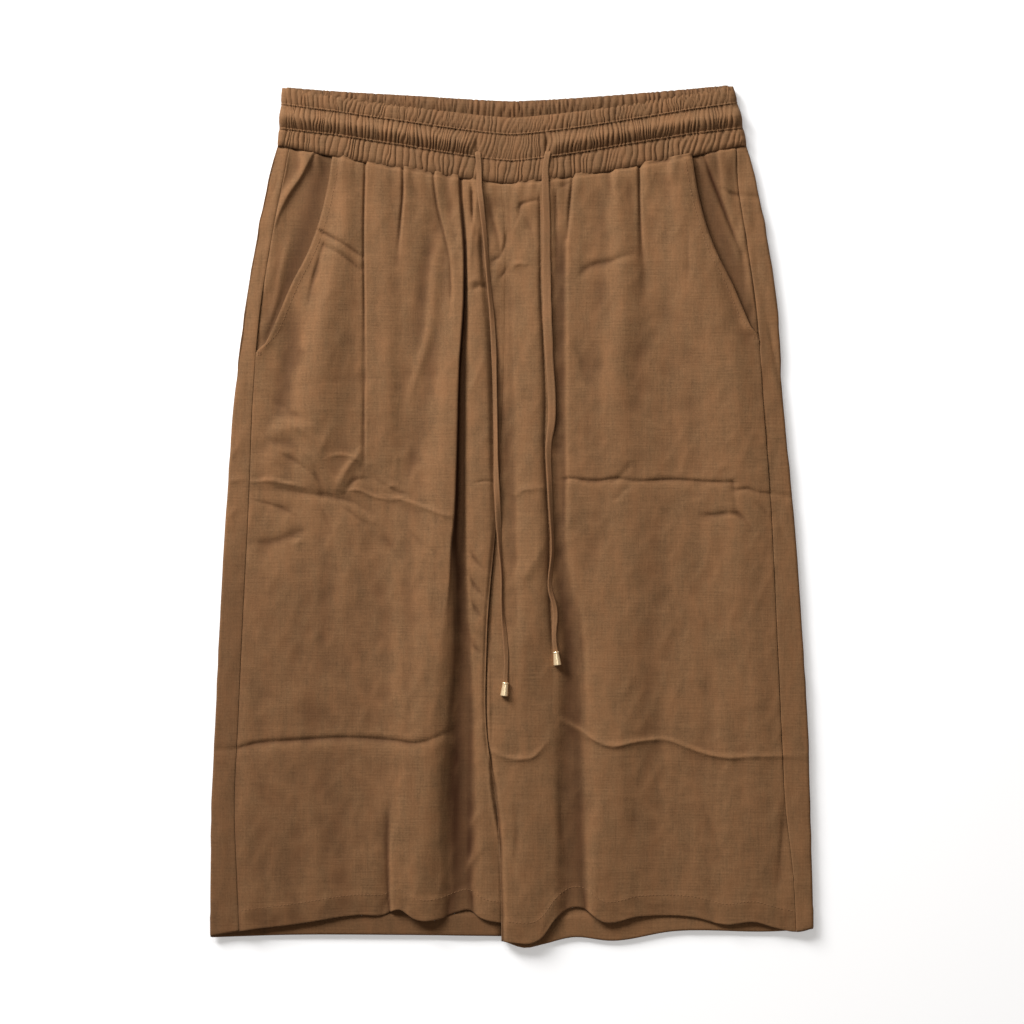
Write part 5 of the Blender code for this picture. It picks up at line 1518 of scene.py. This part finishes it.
# %% [markdown]
# ## Stitches
#
# Hems, pocket mouths and the waistband's channels are sewn with a thread of the cloth's colour. Each
# stitch is a short round bar whose ends dip into the cloth, laid on the surface that is found by
# dropping a line on to the piece. A bar tack is a few stitches side by side at the mouth's end.

# %% Stitches
from mathutils.bvhtree import BVHTree

STITCH_PITCH = 3.0
STITCH_LENGTH = 2.3
THREAD = 0.22            # radius
# Rows: share of the way along from the middle, share of the radius, height over the cloth.
STITCH_SHAPE = np.array(((-0.5, 0.4, -0.2), (-0.3, 1, 0.06), (0.3, 1, 0.06), (0.5, 0.4, -0.2)))
OVER_ALL = 50.0          # further up, or down, than any cloth
HEM_LINE = 700.0         # drop at which the ends of the hem's stitching are looked up
HEM_STITCH = 1.2         # from the turned-up edge to its stitching
TACK_ROWS = 5
TACK_PITCH = 0.7


def stitch_places(piece, x, drop, below=False, pitch=STITCH_PITCH):
    """Where the ends of each stitch along a line meet a piece, from above or from below."""
    mesh = piece.data
    tree = BVHTree.FromPolygons([v.co for v in mesh.vertices], [p.vertices for p in mesh.polygons])
    reached = distances(x, drop)
    side = -1 if below else 1
    found = []
    for at in np.arange(pitch / 2, reached[-1], pitch):
        ends = []
        for part in (-0.5, 0.5):
            here = at + part * STITCH_LENGTH
            start = place(np.interp(here, reached, x), np.interp(here, reached, drop),
                          side * OVER_ALL)
            ends.append(tree.ray_cast(start.tolist(), (0, 0, -side))[0])
        if None not in ends:
            found.append(np.array(ends))
    return np.array(found)


def sew(name, found, below=False):
    """One mesh of round bars between pairs of points on the cloth."""
    middle = found.mean(axis=1)[:, None, None]
    way = (found[:, 1] - found[:, 0])[:, None, None]
    length = np.linalg.norm(way, axis=-1, keepdims=True)
    up = np.array((0, 0, -1.0 if below else 1.0))
    side = np.cross(way / length, up)
    out = np.cross(side, way / length)
    angle = (np.arange(6) * np.pi / 3)[:, None]
    along_it, size, lift = (STITCH_SHAPE[:, k, None, None] for k in range(3))
    points = (middle + way * along_it + side * np.cos(angle) * size * THREAD * MM
              + out * (np.sin(angle) * size * THREAD + lift) * MM)
    count, rows, columns = points.shape[:3]
    number = np.arange(count)[:, None, None] * rows * columns
    faces = [(tube_quads(rows, columns) + number).reshape(-1, 4)]
    flat = points.reshape(-1, 3)
    if volume(flat - flat.mean(axis=0), faces) < 0:
        faces = [faces[0][:, ::-1]]
    uv = flat[:, :2] + flat[:, 2:]
    made = add_mesh(name, flat, faces, uv, tie_cloth)
    print(name, "has", count, "stitches")
    return made


def make_stitches():
    runs = {"hem": [], "under": [], "mouth": [], "band": []}
    for side, front, back in (("left", front_left, back_left), ("right", front_right, back_right)):
        inward = INWARD[side]
        middle = middle_edge(side, HEM_LINE)
        x = np.linspace(side_seam(side, HEM_LINE) + inward * 1.5, middle - inward * 3, 300)
        drop = hem("front_" + side, x) - HEM_DEPTH + HEM_STITCH
        runs["hem"].append(stitch_places(front, x, drop))
        x = np.linspace(section(side, HEM_LINE) + inward * 4, middle - inward * 4, 300)
        drop = hem("back_" + side, x) - HEM_DEPTH + HEM_STITCH
        runs["under"].append(stitch_places(back, x, drop, below=True))
        drop = np.linspace(56, MOUTH_END[side] - 6, 300)
        drop = drop[drop > band_edge("bottom", mouth(side, drop)) + 1.5]
        x = mouth(side, drop) + inward * 6 * ease((MOUTH_END[side] - drop) / 20)
        runs["mouth"].append(stitch_places(front, x, drop))
        for row in range(TACK_ROWS):
            drop = np.full(2, MOUTH_END[side] - 1.0 + TACK_PITCH * row)
            x = side_seam(side, drop) + inward * np.array((1.0, 5.0))
            runs["mouth"].append(stitch_places(front, x, drop, pitch=2.0))
    x = np.linspace(-180, 180, 900)
    for share in STITCHES:
        top = band_edge("front_top", x) + band_slope(x)
        drop = top + down_band(x, share) * (band_edge("bottom", x) - top)
        runs["band"].append(stitch_places(waistband, x, drop))
    return [sew(name + "_stitches", np.concatenate(found), below=name == "under")
            for name, found in runs.items()]


stitches = make_stitches()

# %% [markdown]
# ## Finish: what each piece rides on and stands for
#
# Every piece rides on the garment's one body and takes the place of its solid, which is hidden.

# %% Hide the solids and attach the pieces
PIECES = {
    "front_left": (front_left, "panel_cloth"), "front_right": (front_right, "panel_cloth"),
    "back_left": (back_left, "panel_cloth"), "back_right": (back_right, "panel_cloth"),
    "pocket_facing_left": (facing_left, "panel_cloth"),
    "pocket_facing_right": (facing_right, "panel_cloth"),
    "waistband": (waistband, "band_cloth"),
    "drawstring_left": (tie_left, "tie_cloth"), "drawstring_right": (tie_right, "tie_cloth"),
    "aglet_left": (aglet_left, "aglet_metal"), "aglet_right": (aglet_right, "aglet_metal")}
for node, (piece, slot) in PIECES.items():
    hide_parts(node)
    piece.name = node + "_look"
    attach(piece, "root")

for piece in stitches:
    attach(piece, "root")
